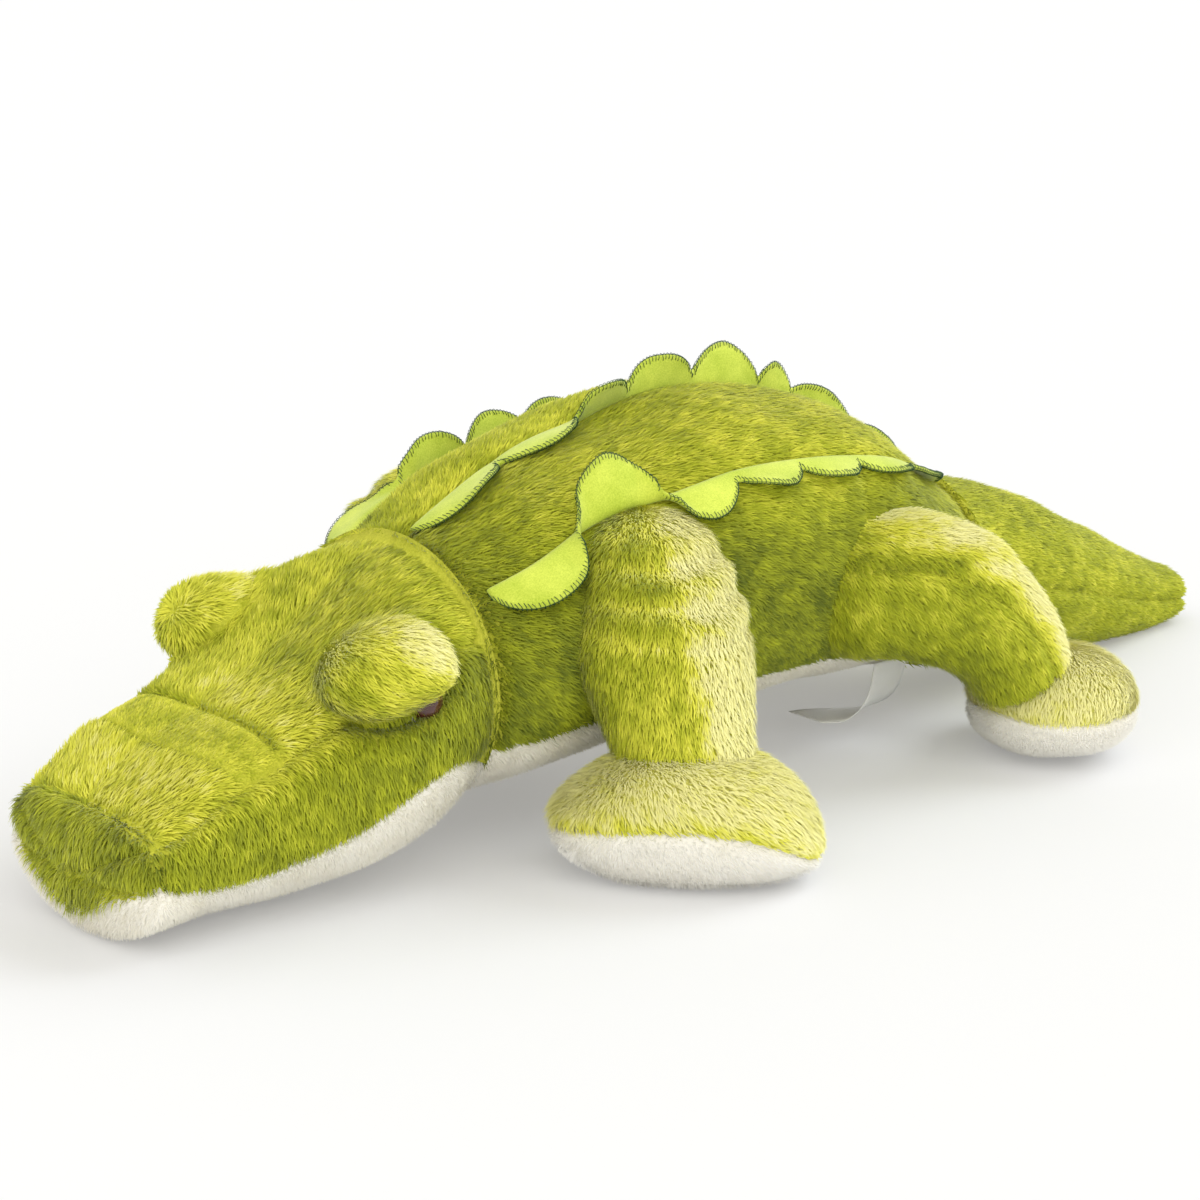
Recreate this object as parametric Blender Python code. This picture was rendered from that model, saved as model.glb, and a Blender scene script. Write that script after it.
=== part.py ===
# Plush crocodile lying on its belly: stuffed bodies inside sewn plush panels.
# Metres. The nose points to -X, the toy's left side to -Y, and the floor is z = 0.
# It bends at the neck, shoulders, hips, ankles, tail seam and care label.

import math

import bmesh
import bpy
import numpy as np
from mathutils import Matrix, Vector

# Lengths along the back
HEAD_LENGTH = 0.121
BODY_LENGTH = 0.234
TAIL_LENGTH = 0.179

# Head
SNOUT_WIDTH = 0.076
SNOUT_HEIGHT = 0.036
HEAD_WIDTH = 0.110
NECK_WIDTH = 0.098
NECK_TOP = 0.097
NECK_CLEARANCE = 0.020
NOSE_DEPTH = 0.012

# Body
BODY_WIDTH = 0.124
HUMP_HEIGHT = 0.131
BELLY_CLEARANCE = 0.025
NECK_BALL_RADIUS = 0.056
TAIL_BALL_RADIUS = 0.052

# Tail
TAIL_ROOT_WIDTH = 0.084
TAIL_ROOT_TOP = 0.088
TAIL_ROOT_CLEARANCE = 0.014
TAIL_TIP_HEIGHT = 0.020
TAIL_TIP_WIDTH = 0.026
TAIL_TIP_DEPTH = 0.013

# Front legs, from the neck seam, the body's side and the floor
SHOULDER_BACK = 0.057
SHOULDER_HEIGHT = 0.080
SHOULDER_INSET = 0.008
FRONT_LEG_THICKNESS = 0.053
FRONT_ANKLE_THICKNESS = 0.042
FRONT_ANKLE_HEIGHT = 0.038
FRONT_KNEE_HEIGHT = 0.062
FRONT_FOOT_FORWARD = 0.014
FRONT_FOOT_REACH = 0.025

# Hind legs, from the tail seam, the body's side and the floor
HIP_FORWARD = 0.077
HIP_HEIGHT = 0.066
HIP_INSET = 0.011
HIND_LEG_THICKNESS = 0.053
HIND_KNEE_THICKNESS = 0.049
HIND_ANKLE_THICKNESS = 0.039
HIND_ANKLE_HEIGHT = 0.034
HIND_KNEE_HEIGHT = 0.059
HIND_FOOT_BACK = 0.066
HIND_FOOT_REACH = 0.021
HIND_ANKLE_LEAD = 0.026

# Feet
FRONT_FOOT_LENGTH = 0.084
FRONT_FOOT_WIDTH = 0.057
HIND_FOOT_LENGTH = 0.074
HIND_FOOT_WIDTH = 0.058
FOOT_HEIGHT = 0.036
SOLE_HEIGHT = 0.016
FOOT_BOXINESS = 2.3
PILLOW_BEND = 0.8

# Eyes and the stuffed brows over them
EYE_RADIUS = 0.006
EYE_STEM_RADIUS = 0.0022
EYE_STEM_LENGTH = 0.011
WASHER_RADIUS = 0.0075
WASHER_THICKNESS = 0.0016
BROW_LENGTH = 0.046
BROW_WIDTH = 0.042
BROW_HEIGHT = 0.038
BROW_OVERHANG = 0.005
BROW_RISE = 0.004

# Felt scales sewn into the back seams
SCALE_HEIGHT = 0.016
SCALE_THICKNESS = 0.0016
SCALE_VALLEY = 0.003
SCALE_BEND = 0.7

# Care label
LABEL_WIDTH = 0.018
LABEL_THICKNESS = 0.0008
LABEL_REACH = 0.034
LABEL_FORWARD = 0.047

# Fabric, clearances and the flat that the toy rests on
FABRIC = 0.002
GAP = 0.0003
SWING_GAP = 0.0009
FLOOR_CUT = 0.0005
MERGE = 0.000001
NORMAL_STEP = 0.001

# Angles in degrees
HEAD_TURN = 18.0
TAIL_SWAY = 22.0
LEG_SWING = 20.0
FOOT_TILT = 16.0
FRONT_FOOT_YAW = 51.0
HIND_FOOT_YAW = 130.0
HIND_TOE_LIFT = 7.0
EYE_ANGLE = 64.0
BROW_ANGLE = 50.0
NORMAL_TURN = 0.5
SHARP_EDGE = 40.0

# Counts
BODY_ROWS = 10
HEAD_ROWS = 8
TAIL_ROWS = 6
LEG_ROWS = 4
CAP_ROWS = 4
ROOT_ROWS = 3
END_ROWS = 4
LEG_COLUMNS = 12
FOOT_COLUMNS = 14
FOOT_TOP_ROWS = 3
SOLE_ROWS = 3
SCALE_COLUMNS = 5
SWEEP_STEPS = 3
END_STEPS = 7
BALL_ROWS = 10
ANKLE_BALL_ROWS = 4
BROW_ROWS = 8
BROW_COLUMNS = 14
EYE_ROWS = 5
ROUND_SIDES = 14
LABEL_ROWS = 8

TOTAL_LENGTH = HEAD_LENGTH + BODY_LENGTH + TAIL_LENGTH
NOSE_X = -TOTAL_LENGTH / 2
NECK_X = NOSE_X + HEAD_LENGTH
TAIL_X = NECK_X + BODY_LENGTH

# Outlines: how far along, then half width, top and underside, each as a share of the
# size named beside its use, and how boxy the section is
head_outline_shares = (
    (0.10, 0.72, 0.41, 0.00, 3.2),
    (0.26, 0.75, 0.54, 0.00, 3.4),
    (0.40, 0.79, 0.60, 0.00, 3.2),
    (0.55, 0.88, 0.69, 0.00, 2.9),
    (0.69, 0.99, 0.82, 0.14, 2.6),
    (0.84, 1.00, 0.95, 0.50, 2.3),
)
body_outline_shares = (
    (0.08, 0.89, 0.81, 0.84, 2.1),
    (0.16, 0.91, 0.88, 0.90, 2.3),
    (0.31, 0.97, 0.95, 1.00, 2.3),
    (0.43, 1.00, 1.00, 1.00, 2.3),
    (0.63, 1.00, 0.98, 1.00, 2.3),
    (0.76, 0.96, 0.91, 0.94, 2.3),
    (0.87, 0.84, 0.81, 0.80, 2.1),
)
tail_outline_shares = (
    (0.10, 0.93, 0.91, 0.70, 2.1),
    (0.32, 0.82, 0.78, 0.42, 2.1),
    (0.49, 0.70, 0.62, 0.22, 2.1),
    (0.67, 0.56, 0.43, 0.00, 2.1),
    (0.84, 0.42, 0.29, 0.00, 2.1),
)

# Seams, in degrees from the top of the section: how far along, then the angle
strip_seams = ((0.0, 46.0), (0.30, 50.0), (0.56, 53.0), (0.80, 46.0), (0.96, 33.0), (1.0, 31.0))
belly_seams = ((0.0, 136.0), (0.5, 137.0), (1.0, 140.0))
cheek_seams = ((0.0, 45.0), (0.5, 43.0), (1.0, 62.0))
jaw_seams = ((0.0, 138.0), (0.3, 134.0), (1.0, 138.0))
tail_seams = ((0.0, 92.0), (1.0, 92.0))

# How far each scale leans from straight out of the back, in degrees, towards the side,
# and its height as a share of SCALE_HEIGHT
left_scale_leans = (78.0, -22.0, 44.0, 58.0, 60.0, 55.0, 42.0)
right_scale_leans = (-40.0, -34.0, -26.0, 10.0, 30.0, 40.0, 42.0)
spine_scale_leans = (80.0, 78.0, 38.0, 4.0, -6.0, 2.0, 6.0, 20.0)
side_height_shares = (1.00, 0.98, 0.86, 0.76, 0.70, 0.62, 0.52)
spine_height_shares = (1.00, 0.98, 0.84, 0.80, 0.84, 0.66, 0.54, 0.46)

for thing in list(bpy.data.objects):
    bpy.data.objects.remove(thing, do_unlink=True)


# A smooth curve through a few chosen points
def through(places, values, at):
    places = np.asarray(places, float)
    values = np.asarray(values, float)
    slopes = np.gradient(values, places)
    at = np.clip(np.asarray(at, float), places[0], places[-1])
    k = np.clip(np.searchsorted(places, at, side="right") - 1, 0, len(places) - 2)
    span = places[k + 1] - places[k]
    t = (at - places[k]) / span
    start = values[k] * (1 + 2 * t) * (1 - t) ** 2 + slopes[k] * span * t * (1 - t) ** 2
    end = values[k + 1] * t ** 2 * (3 - 2 * t) + slopes[k + 1] * span * t ** 2 * (t - 1)
    return start + end


def unit(vectors):
    length = np.linalg.norm(vectors, axis=-1, keepdims=True)
    return vectors / np.maximum(length, MERGE * MERGE)


# A lofted skin: rings of points from one end to the other, each ring closed on itself.
# A ring drawn together to one point is a pole.
class Form:
    def __init__(self, rings):
        self.rings = np.array(rings, float)
        along = np.gradient(self.rings, axis=0)
        around = np.roll(self.rings, -1, axis=1) - np.roll(self.rings, 1, axis=1)
        normals = unit(np.cross(around, along))
        centres = self.rings.mean(axis=1, keepdims=True)
        middle = len(self.rings) // 2
        facing = np.sum(normals[middle] * (self.rings[middle] - centres[middle]))
        normals *= 1.0 if facing > 0 else -1.0
        for end, inner in ((0, 1), (-1, -2)):
            if np.ptp(self.rings[end], axis=0).max() < MERGE:
                normals[end] = unit(centres[end] - centres[inner])
        self.normals = normals

    # The same skin, lower by depth
    def at_depth(self, depth):
        return self.rings - self.normals * depth

    def moved(self, matrix):
        turn = np.array(matrix.to_3x3())
        shift = np.array(matrix.translation)
        copy = Form.__new__(Form)
        copy.rings = self.rings @ turn.T + shift
        copy.normals = self.normals @ turn.T
        return copy

    def mirrored(self):
        copy = Form.__new__(Form)
        copy.rings = self.rings * (1, -1, 1)
        copy.normals = self.normals * (1, -1, 1)
        return copy


def add_quads(bm, rows):
    for near, far in zip(rows[:-1], rows[1:]):
        for k in range(len(near) - 1):
            corners = []
            for vert in (near[k], near[k + 1], far[k + 1], far[k]):
                if vert not in corners:
                    corners.append(vert)
            if len(corners) > 2:
                bm.faces.new(corners[:3])
            if len(corners) > 3:
                bm.faces.new((corners[0], corners[2], corners[3]))


# One vertex for each point, or one for a whole row where it is a pole
def add_rows(bm, points):
    rows = []
    for row in points:
        if np.ptp(row, axis=0).max() < MERGE:
            rows.append([bm.verts.new(row[0])] * len(row))
        else:
            rows.append([bm.verts.new(point) for point in row])
    return rows


# The filled solid inside a form, at a depth below its skin
def core_mesh(form, depth):
    bm = bmesh.new()
    rows = add_rows(bm, form.at_depth(depth))
    add_quads(bm, [row + row[:1] for row in rows])
    for row in (rows[0], rows[-1]):
        if row[0] is not row[1]:
            middle = bm.verts.new(sum((vert.co for vert in row), Vector()) / len(row))
            for k, vert in enumerate(row):
                bm.faces.new((vert, row[(k + 1) % len(row)], middle))
    return bm


# Cuts a mesh flat where it would pass through the floor
def cut_at_floor(bm):
    everything = bm.verts[:] + bm.edges[:] + bm.faces[:]
    bmesh.ops.bisect_plane(bm, geom=everything, plane_co=(0, 0, 0), plane_no=(0, 0, 1), clear_inner=True)
    open_edges = [edge for edge in bm.edges if len(edge.link_faces) == 1]
    bmesh.ops.holes_fill(bm, edges=open_edges, sides=0)


# Draws a panel's outer rows or columns back from its seams
def draw_back(points, before, after, axis):
    points = np.moveaxis(points, axis, 0).copy()
    if before > 0:
        points[0] += unit(points[1] - points[0]) * before
    if after > 0:
        points[-1] += unit(points[-2] - points[-1]) * after
    return np.moveaxis(points, 0, axis)


# A sewn panel: a piece of a form's skin, one fabric thick, drawn back from its seams
def panel_mesh(form, rows, columns, seams=(GAP / 2, GAP / 2), ends=(0.0, 0.0)):
    wraps = columns is None
    count = form.rings.shape[1]
    across = [k % count for k in (range(count) if wraps else range(columns[0], columns[1] + 1))]
    sides = []
    for depth in (0, FABRIC):
        points = form.at_depth(depth)[rows[0] : rows[1] + 1][:, across]
        if not wraps:
            points = draw_back(points, seams[0], seams[1], 1)
            for end in (0, -1):
                if np.ptp(points[end], axis=0).max() < 2 * max(seams) + MERGE:
                    middle = points[end].mean(axis=0)
                    inward = points[-2 if end else 1].mean(axis=0) - middle
                    inward[0] = 0
                    points[end] = middle + unit(inward) * max(seams)
        sides.append(draw_back(points, ends[0], ends[1], 0))
    bm = bmesh.new()
    outer, inner = (add_rows(bm, side) for side in sides)
    if wraps:
        outer, inner = ([row + row[:1] for row in side] for side in (outer, inner))
    add_quads(bm, outer)
    add_quads(bm, inner)
    for end in (0, -1):
        add_quads(bm, [outer[end], inner[end]])
    if not wraps:
        for end in (0, -1):
            add_quads(bm, [[row[end] for row in outer], [row[end] for row in inner]])
    return bm


def make_material(name, color, roughness):
    material = bpy.data.materials.new(name)
    material.use_nodes = True
    shader = material.node_tree.nodes["Principled BSDF"]
    shader.inputs["Base Color"].default_value = (*color, 1.0)
    shader.inputs["Roughness"].default_value = roughness
    shader.inputs["Metallic"].default_value = 0.0
    return material


green_plush = make_material("green_plush", (0.42, 0.50, 0.07), 0.9)
white_plush = make_material("white_plush", (0.88, 0.86, 0.76), 0.9)
green_felt = make_material("green_felt", (0.48, 0.66, 0.10), 0.85)
fibre_fill = make_material("fibre_fill", (0.90, 0.90, 0.88), 0.95)
eye_plastic = make_material("eye_plastic", (0.03, 0.01, 0.01), 0.12)
washer_plastic = make_material("washer_plastic", (0.85, 0.85, 0.82), 0.4)
white_satin = make_material("white_satin", (0.93, 0.93, 0.95), 0.45)

pivots = {}


# An empty on a joint's axis, which the moving pieces hang from
def make_pivot(name, place):
    empty = bpy.data.objects.new(name, None)
    empty.location = place
    bpy.context.scene.collection.objects.link(empty)
    pivots[name] = empty
    return empty


def make_object(name, bm, material, pivot=None):
    bmesh.ops.remove_doubles(bm, verts=bm.verts, dist=MERGE)
    if min(vert.co.z for vert in bm.verts) < -MERGE:
        cut_at_floor(bm)
    bmesh.ops.recalc_face_normals(bm, faces=bm.faces)
    mesh = bpy.data.meshes.new(name)
    bm.to_mesh(mesh)
    bm.free()
    mesh.shade_smooth()
    mesh.set_sharp_from_angle(angle=math.radians(SHARP_EDGE))
    mesh.materials.append(material)
    piece = bpy.data.objects.new(name, mesh)
    bpy.context.scene.collection.objects.link(piece)
    if pivot:
        mesh.transform(Matrix.Translation(-pivot.location))
        piece.parent = pivot
    return piece


def make_cutter(name, bm):
    cutter = make_object(name, bm, fibre_fill)
    cutter.hide_render = True
    cutter.display_type = "WIRE"
    return cutter


def cut(piece, cutters):
    room = bpy.data.collections.new(piece.name + "_cutters")
    bpy.context.scene.collection.children.link(room)
    for cutter in cutters:
        room.objects.link(cutter)
    modifier = piece.modifiers.new("clear of its neighbours", "BOOLEAN")
    modifier.operation = "DIFFERENCE"
    modifier.solver = "EXACT"
    modifier.operand_type = "COLLECTION"
    modifier.collection = room


# The room that a larger form takes up, as seen from a smaller one that turns beside it
def swept_cutters(name, form, place, axis, swing, steps=SWEEP_STEPS):
    cutters = []
    for step in range(steps):
        angle = math.radians(swing) * (2 * step / (steps - 1) - 1)
        turn = Matrix.Rotation(angle, 4, axis)
        around = Matrix.Translation(place) @ turn @ Matrix.Translation(-Vector(place))
        cutters.append(make_cutter(f"{name}_{step}", core_mesh(form.moved(around), -SWING_GAP)))
    return cutters


# The room that a body ball takes up inside the head or the tail, which turn round it
def ball_cutter(name, place, radius, half_width, half_height):
    rings = []
    for row in range(BALL_ROWS + 1):
        tilt = math.pi * row / BALL_ROWS
        thin = math.sin(tilt) if 0 < row < BALL_ROWS else 0.0
        angles = np.arange(2 * BALL_ROWS) * math.pi / BALL_ROWS
        x = np.sin(angles) * thin * radius
        y = np.cos(angles) * thin * radius
        z = np.full_like(x, -math.cos(tilt) * radius * half_height / half_width)
        rings.append(np.stack((x, y, z), axis=1) + np.array(place))
    facet = radius * (1 - math.cos(math.pi / 2 / BALL_ROWS))
    return make_cutter(name, core_mesh(Form(rings), -GAP - facet))


# Angles round a section: even steps between its seams, the same on both sides
def column_angles(knots):
    columns = [column for column, angle in knots]
    half = np.interp(range(columns[-1] + 1), columns, [angle for column, angle in knots])
    return np.radians(np.concatenate((half, 360 - half[-2:0:-1])))


# A section across the toy: angle 0 is its top, and angles grow towards the left side
def section(x, half_width, top, under, boxiness, angles):
    sine = np.sin(angles)
    cosine = np.cos(angles)
    across = np.sign(sine) * np.abs(sine) ** (2 / boxiness)
    up = np.sign(cosine) * np.abs(cosine) ** (2 / boxiness)
    y = -half_width * across
    z = (top + under) / 2 + (top - under) / 2 * up
    return np.stack((np.full_like(y, x), y, z), axis=1)


# An outline that can be read at any share of its length
class Outline:
    def __init__(self, start_x, length, start, shares, scales, end):
        table = [(0.0, *start)]
        for along, width, top, under, boxiness in shares:
            table.append((along, width * scales[0] / 2, top * scales[1], under * scales[2], boxiness))
        table.append((1.0, *end))
        self.columns = np.array(table).T
        self.start_x = start_x
        self.length = length

    def at(self, share):
        return [float(through(self.columns[0], values, share)) for values in self.columns[1:]]

    def ring(self, share, knots, scale=1.0, shift=0.0):
        half_width, top, under, boxiness = self.at(share)
        middle = (top + under) / 2
        tall = (top - under) / 2 * scale
        x = self.start_x + self.length * share + shift
        angles = column_angles(knots)
        return section(x, half_width * scale, middle + tall, middle - tall, boxiness, angles)


def seam_angle(seams, share):
    return float(through([place for place, angle in seams], [angle for place, angle in seams], share))


head_outline = Outline(
    NOSE_X,
    HEAD_LENGTH,
    (SNOUT_WIDTH / 2, SNOUT_HEIGHT, -FLOOR_CUT, 3.0),
    head_outline_shares,
    (HEAD_WIDTH, NECK_TOP, NECK_CLEARANCE),
    (NECK_WIDTH / 2, NECK_TOP, NECK_CLEARANCE, 2.0),
)
body_outline = Outline(
    NECK_X,
    BODY_LENGTH,
    (NECK_WIDTH / 2, NECK_TOP, NECK_CLEARANCE, 2.0),
    body_outline_shares,
    (BODY_WIDTH, HUMP_HEIGHT, BELLY_CLEARANCE),
    (TAIL_ROOT_WIDTH / 2, TAIL_ROOT_TOP, TAIL_ROOT_CLEARANCE, 2.0),
)
tail_outline = Outline(
    TAIL_X,
    TAIL_LENGTH,
    (TAIL_ROOT_WIDTH / 2, TAIL_ROOT_TOP, TAIL_ROOT_CLEARANCE, 2.0),
    tail_outline_shares,
    (TAIL_ROOT_WIDTH, TAIL_ROOT_TOP, TAIL_ROOT_CLEARANCE),
    (TAIL_TIP_WIDTH / 2, TAIL_TIP_HEIGHT, -FLOOR_CUT, 2.0),
)

# The underside is flat on the floor wherever its share is nothing
for outline in (head_outline, tail_outline):
    outline.columns[3] = np.where(outline.columns[3] <= 0, -FLOOR_CUT, outline.columns[3])


# How far a ball's centre lies behind a seam of that half width
def ball_setback(radius, half_width):
    return math.sqrt(max(radius, half_width) ** 2 - half_width ** 2)


# Shares and places of the rings of a ball that closes a form beyond its seam
def ball_rings(radius, half_width):
    setback = ball_setback(radius, half_width)
    widest = max(radius, half_width)
    for row in range(CAP_ROWS):
        angle = math.acos(setback / widest) * row / CAP_ROWS
        yield math.cos(angle) * widest - setback, math.sin(angle) * widest / half_width


def body_knots(share):
    return ((0, 0), (3, seam_angle(strip_seams, share)), (8, seam_angle(belly_seams, share)), (11, 180))


def head_knots(share):
    return ((0, 0), (4, seam_angle(cheek_seams, share)), (9, seam_angle(jaw_seams, share)), (12, 180))


def tail_knots(share):
    return ((0, 0), (4, seam_angle(tail_seams, share)), (8, 180))


# The body, from its neck ball to its tail ball
def build_body_form():
    rings = []
    for reach, scale in ball_rings(NECK_BALL_RADIUS, NECK_WIDTH / 2):
        rings.append(body_outline.ring(0, body_knots(0), scale, -reach))
    for row in range(BODY_ROWS + 1):
        share = row / BODY_ROWS
        rings.append(body_outline.ring(share, body_knots(share)))
    for reach, scale in reversed(list(ball_rings(TAIL_BALL_RADIUS, TAIL_ROOT_WIDTH / 2))):
        rings.append(body_outline.ring(1, body_knots(1), scale, reach))
    return Form(rings)


# The head, from the tip of the snout to the neck seam
def build_head_form():
    seam_share = NOSE_DEPTH / HEAD_LENGTH
    rings = []
    for row in range(CAP_ROWS):
        angle = math.pi / 2 * row / CAP_ROWS
        share = seam_share * (1 - math.cos(angle))
        rings.append(head_outline.ring(share, head_knots(share), math.sin(angle)))
    for row in range(HEAD_ROWS + 1):
        share = seam_share + (1 - seam_share) * row / HEAD_ROWS
        rings.append(head_outline.ring(share, head_knots(share)))
    return Form(rings)


# The tail, from its seam to its tip
def build_tail_form():
    seam_share = 1 - TAIL_TIP_DEPTH / TAIL_LENGTH
    rings = []
    for row in range(TAIL_ROWS + 1):
        share = seam_share * row / TAIL_ROWS
        rings.append(tail_outline.ring(share, tail_knots(share)))
    for row in range(1, CAP_ROWS):
        angle = math.pi / 2 * row / (CAP_ROWS - 1)
        share = seam_share + (1 - seam_share) * math.sin(angle)
        scale = math.cos(angle) if row < CAP_ROWS - 1 else 0.0
        rings.append(tail_outline.ring(share, tail_knots(share), scale))
    return Form(rings)


body_form = build_body_form()
head_form = build_head_form()
tail_form = build_tail_form()

neck_height = (NECK_TOP + NECK_CLEARANCE) / 2
neck_place = Vector((NECK_X + ball_setback(NECK_BALL_RADIUS, NECK_WIDTH / 2), 0, neck_height))
tail_height = (TAIL_ROOT_TOP + TAIL_ROOT_CLEARANCE) / 2
tail_place = Vector((TAIL_X - ball_setback(TAIL_BALL_RADIUS, TAIL_ROOT_WIDTH / 2), 0, tail_height))


# The body and its sewn panels
def build_body():
    rows = (CAP_ROWS, CAP_ROWS + BODY_ROWS)
    strip_seam = SCALE_THICKNESS / 2 + GAP
    plain_seam = GAP / 2
    make_object("body_stuffing", core_mesh(body_form, FABRIC + GAP), fibre_fill)
    panels = (
        ("back_panel_left", (0, 3), (strip_seam, strip_seam), green_plush),
        ("side_panel_left", (3, 8), (strip_seam, plain_seam), green_plush),
        ("belly_panel", (8, 14), (plain_seam, plain_seam), white_plush),
        ("side_panel_right", (14, 19), (plain_seam, strip_seam), green_plush),
        ("back_panel_right", (19, 22), (strip_seam, strip_seam), green_plush),
    )
    for name, columns, seams, material in panels:
        make_object(name, panel_mesh(body_form, rows, columns, seams), material)


# Where a back seam runs, and which way is out of the back there
def seam_line(column, share):
    place = CAP_ROWS + share * BODY_ROWS
    row = min(int(place), CAP_ROWS + BODY_ROWS - 1)
    part = place - row
    point = body_form.rings[row, column] * (1 - part) + body_form.rings[row + 1, column] * part
    out = body_form.normals[row, column] * (1 - part) + body_form.normals[row + 1, column] * part
    return point, unit(out)


# A row of felt scales: one strip whose root is sewn between two panels
def build_strip(name, column, leans, height_shares, side):
    count = len(leans)
    steps = count * SCALE_COLUMNS
    first_share = 0.07
    last_share = 0.97
    centres = (np.arange(count) + 0.5) / count
    rows = []
    for step in range(steps + 1):
        t = step / steps
        share = first_share + (last_share - first_share) * t
        root, out = seam_line(column, share)
        ahead = seam_line(column, min(share + 1 / steps, 1.0))[0]
        behind = seam_line(column, max(share - 1 / steps, 0.0))[0]
        along = unit(ahead - behind)
        sideways = unit(np.cross(along, out)) * side
        lean = math.radians(float(np.interp(t, centres, leans)))
        tall = float(np.interp(t, centres, height_shares)) * SCALE_HEIGHT
        arc = math.sin(math.pi * (t * count % 1)) ** SCALE_BEND if step % SCALE_COLUMNS else 0.0
        tall = SCALE_VALLEY + (tall - SCALE_VALLEY) * arc
        way = out * math.cos(lean) + sideways * math.sin(lean)
        flat = unit(np.cross(along, way))
        lower = unit(np.cross(along, out))
        half = SCALE_THICKNESS / 2
        fold = root + out * SCALE_THICKNESS
        bend = unit(flat + lower)
        line = (
            (root - out * FABRIC, lower),
            (fold, bend),
            (fold + way * tall, flat),
        )
        rows.append([point + normal * half for point, normal in line])
        rows[-1] += [point - normal * half for point, normal in reversed(line)]
    bm = bmesh.new()
    made = [[bm.verts.new(point) for point in row] for row in rows]
    add_quads(bm, [row + row[:1] for row in made])
    for row in (made[0], made[-1]):
        for k in range(2):
            bm.faces.new((row[k], row[k + 1], row[4 - k], row[5 - k]))
    make_object(name, bm, green_felt)


def build_head():
    pivot = make_pivot("neck_pivot", neck_place)
    shoulders = Form(body_form.rings[CAP_ROWS : CAP_ROWS + END_ROWS])
    room = swept_cutters("shoulders_room", shoulders, neck_place, "Z", HEAD_TURN, END_STEPS)
    half_height = (NECK_TOP - NECK_CLEARANCE) / 2
    ball = ball_cutter("neck_room", neck_place, NECK_BALL_RADIUS, NECK_WIDTH / 2, half_height)
    rows = (CAP_ROWS, CAP_ROWS + HEAD_ROWS)
    ends = (GAP, 0.0)
    nose = panel_mesh(head_form, (0, CAP_ROWS), None)
    make_object("nose_panel", nose, green_plush, pivot)
    filling = core_mesh(head_form, FABRIC + GAP)
    pieces = {"head_stuffing": make_object("head_stuffing", filling, fibre_fill, pivot)}
    panels = (
        ("head_top_panel", (-4, 4), green_plush),
        ("cheek_panel_left", (4, 9), green_plush),
        ("chin_panel", (9, 15), white_plush),
        ("cheek_panel_right", (15, 20), green_plush),
    )
    for name, columns, material in panels:
        mesh = panel_mesh(head_form, rows, columns, ends=ends)
        pieces[name] = make_object(name, mesh, material, pivot)
    cutters = {name: [ball, *room] for name in pieces}
    for side, mark in (("left", 1), ("right", -1)):
        holes = build_eye(side, mark, pivot)
        cutters["head_stuffing"] += holes
        cutters[f"cheek_panel_{side}"] += holes[:1]
    for name, piece in pieces.items():
        cut(piece, cutters[name])


# A point of the head's skin and the way out of it
def head_surface(share, angle):
    step = NORMAL_STEP / HEAD_LENGTH
    spin = math.radians(NORMAL_TURN)
    turns = np.array((angle, angle + spin, angle - spin))
    half_width, top, under, boxiness = head_outline.at(share)
    x = NOSE_X + HEAD_LENGTH * share
    here = section(x, half_width, top, under, boxiness, turns)
    half_width, top, under, boxiness = head_outline.at(share + step)
    ahead = section(x + step * HEAD_LENGTH, half_width, top, under, boxiness, turns)
    out = unit(np.cross(ahead[0] - here[0], here[1] - here[2]))
    centre = np.array((x, 0, (top + under) / 2))
    out = out if np.dot(out, here[0] - centre) > 0 else -out
    return here[0], out


# A turned solid: a profile of (radius, distance along the axis), from a place, along a way
def turned_mesh(profile, place, way):
    bm = bmesh.new()
    spin = Vector((0, 0, 1)).rotation_difference(Vector(way))
    rings = []
    for radius, along in profile:
        ring = []
        for k in range(ROUND_SIDES):
            angle = 2 * math.pi * k / ROUND_SIDES
            point = Vector((radius * math.cos(angle), radius * math.sin(angle), along))
            ring.append(Vector(place) + spin @ point)
        rings.append(ring)
    rows = add_rows(bm, np.array(rings))
    closed = profile[0] == profile[-1]
    if closed:
        rows[-1] = rows[0]
    add_quads(bm, [row + row[:1] for row in rows])
    return bm


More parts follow.
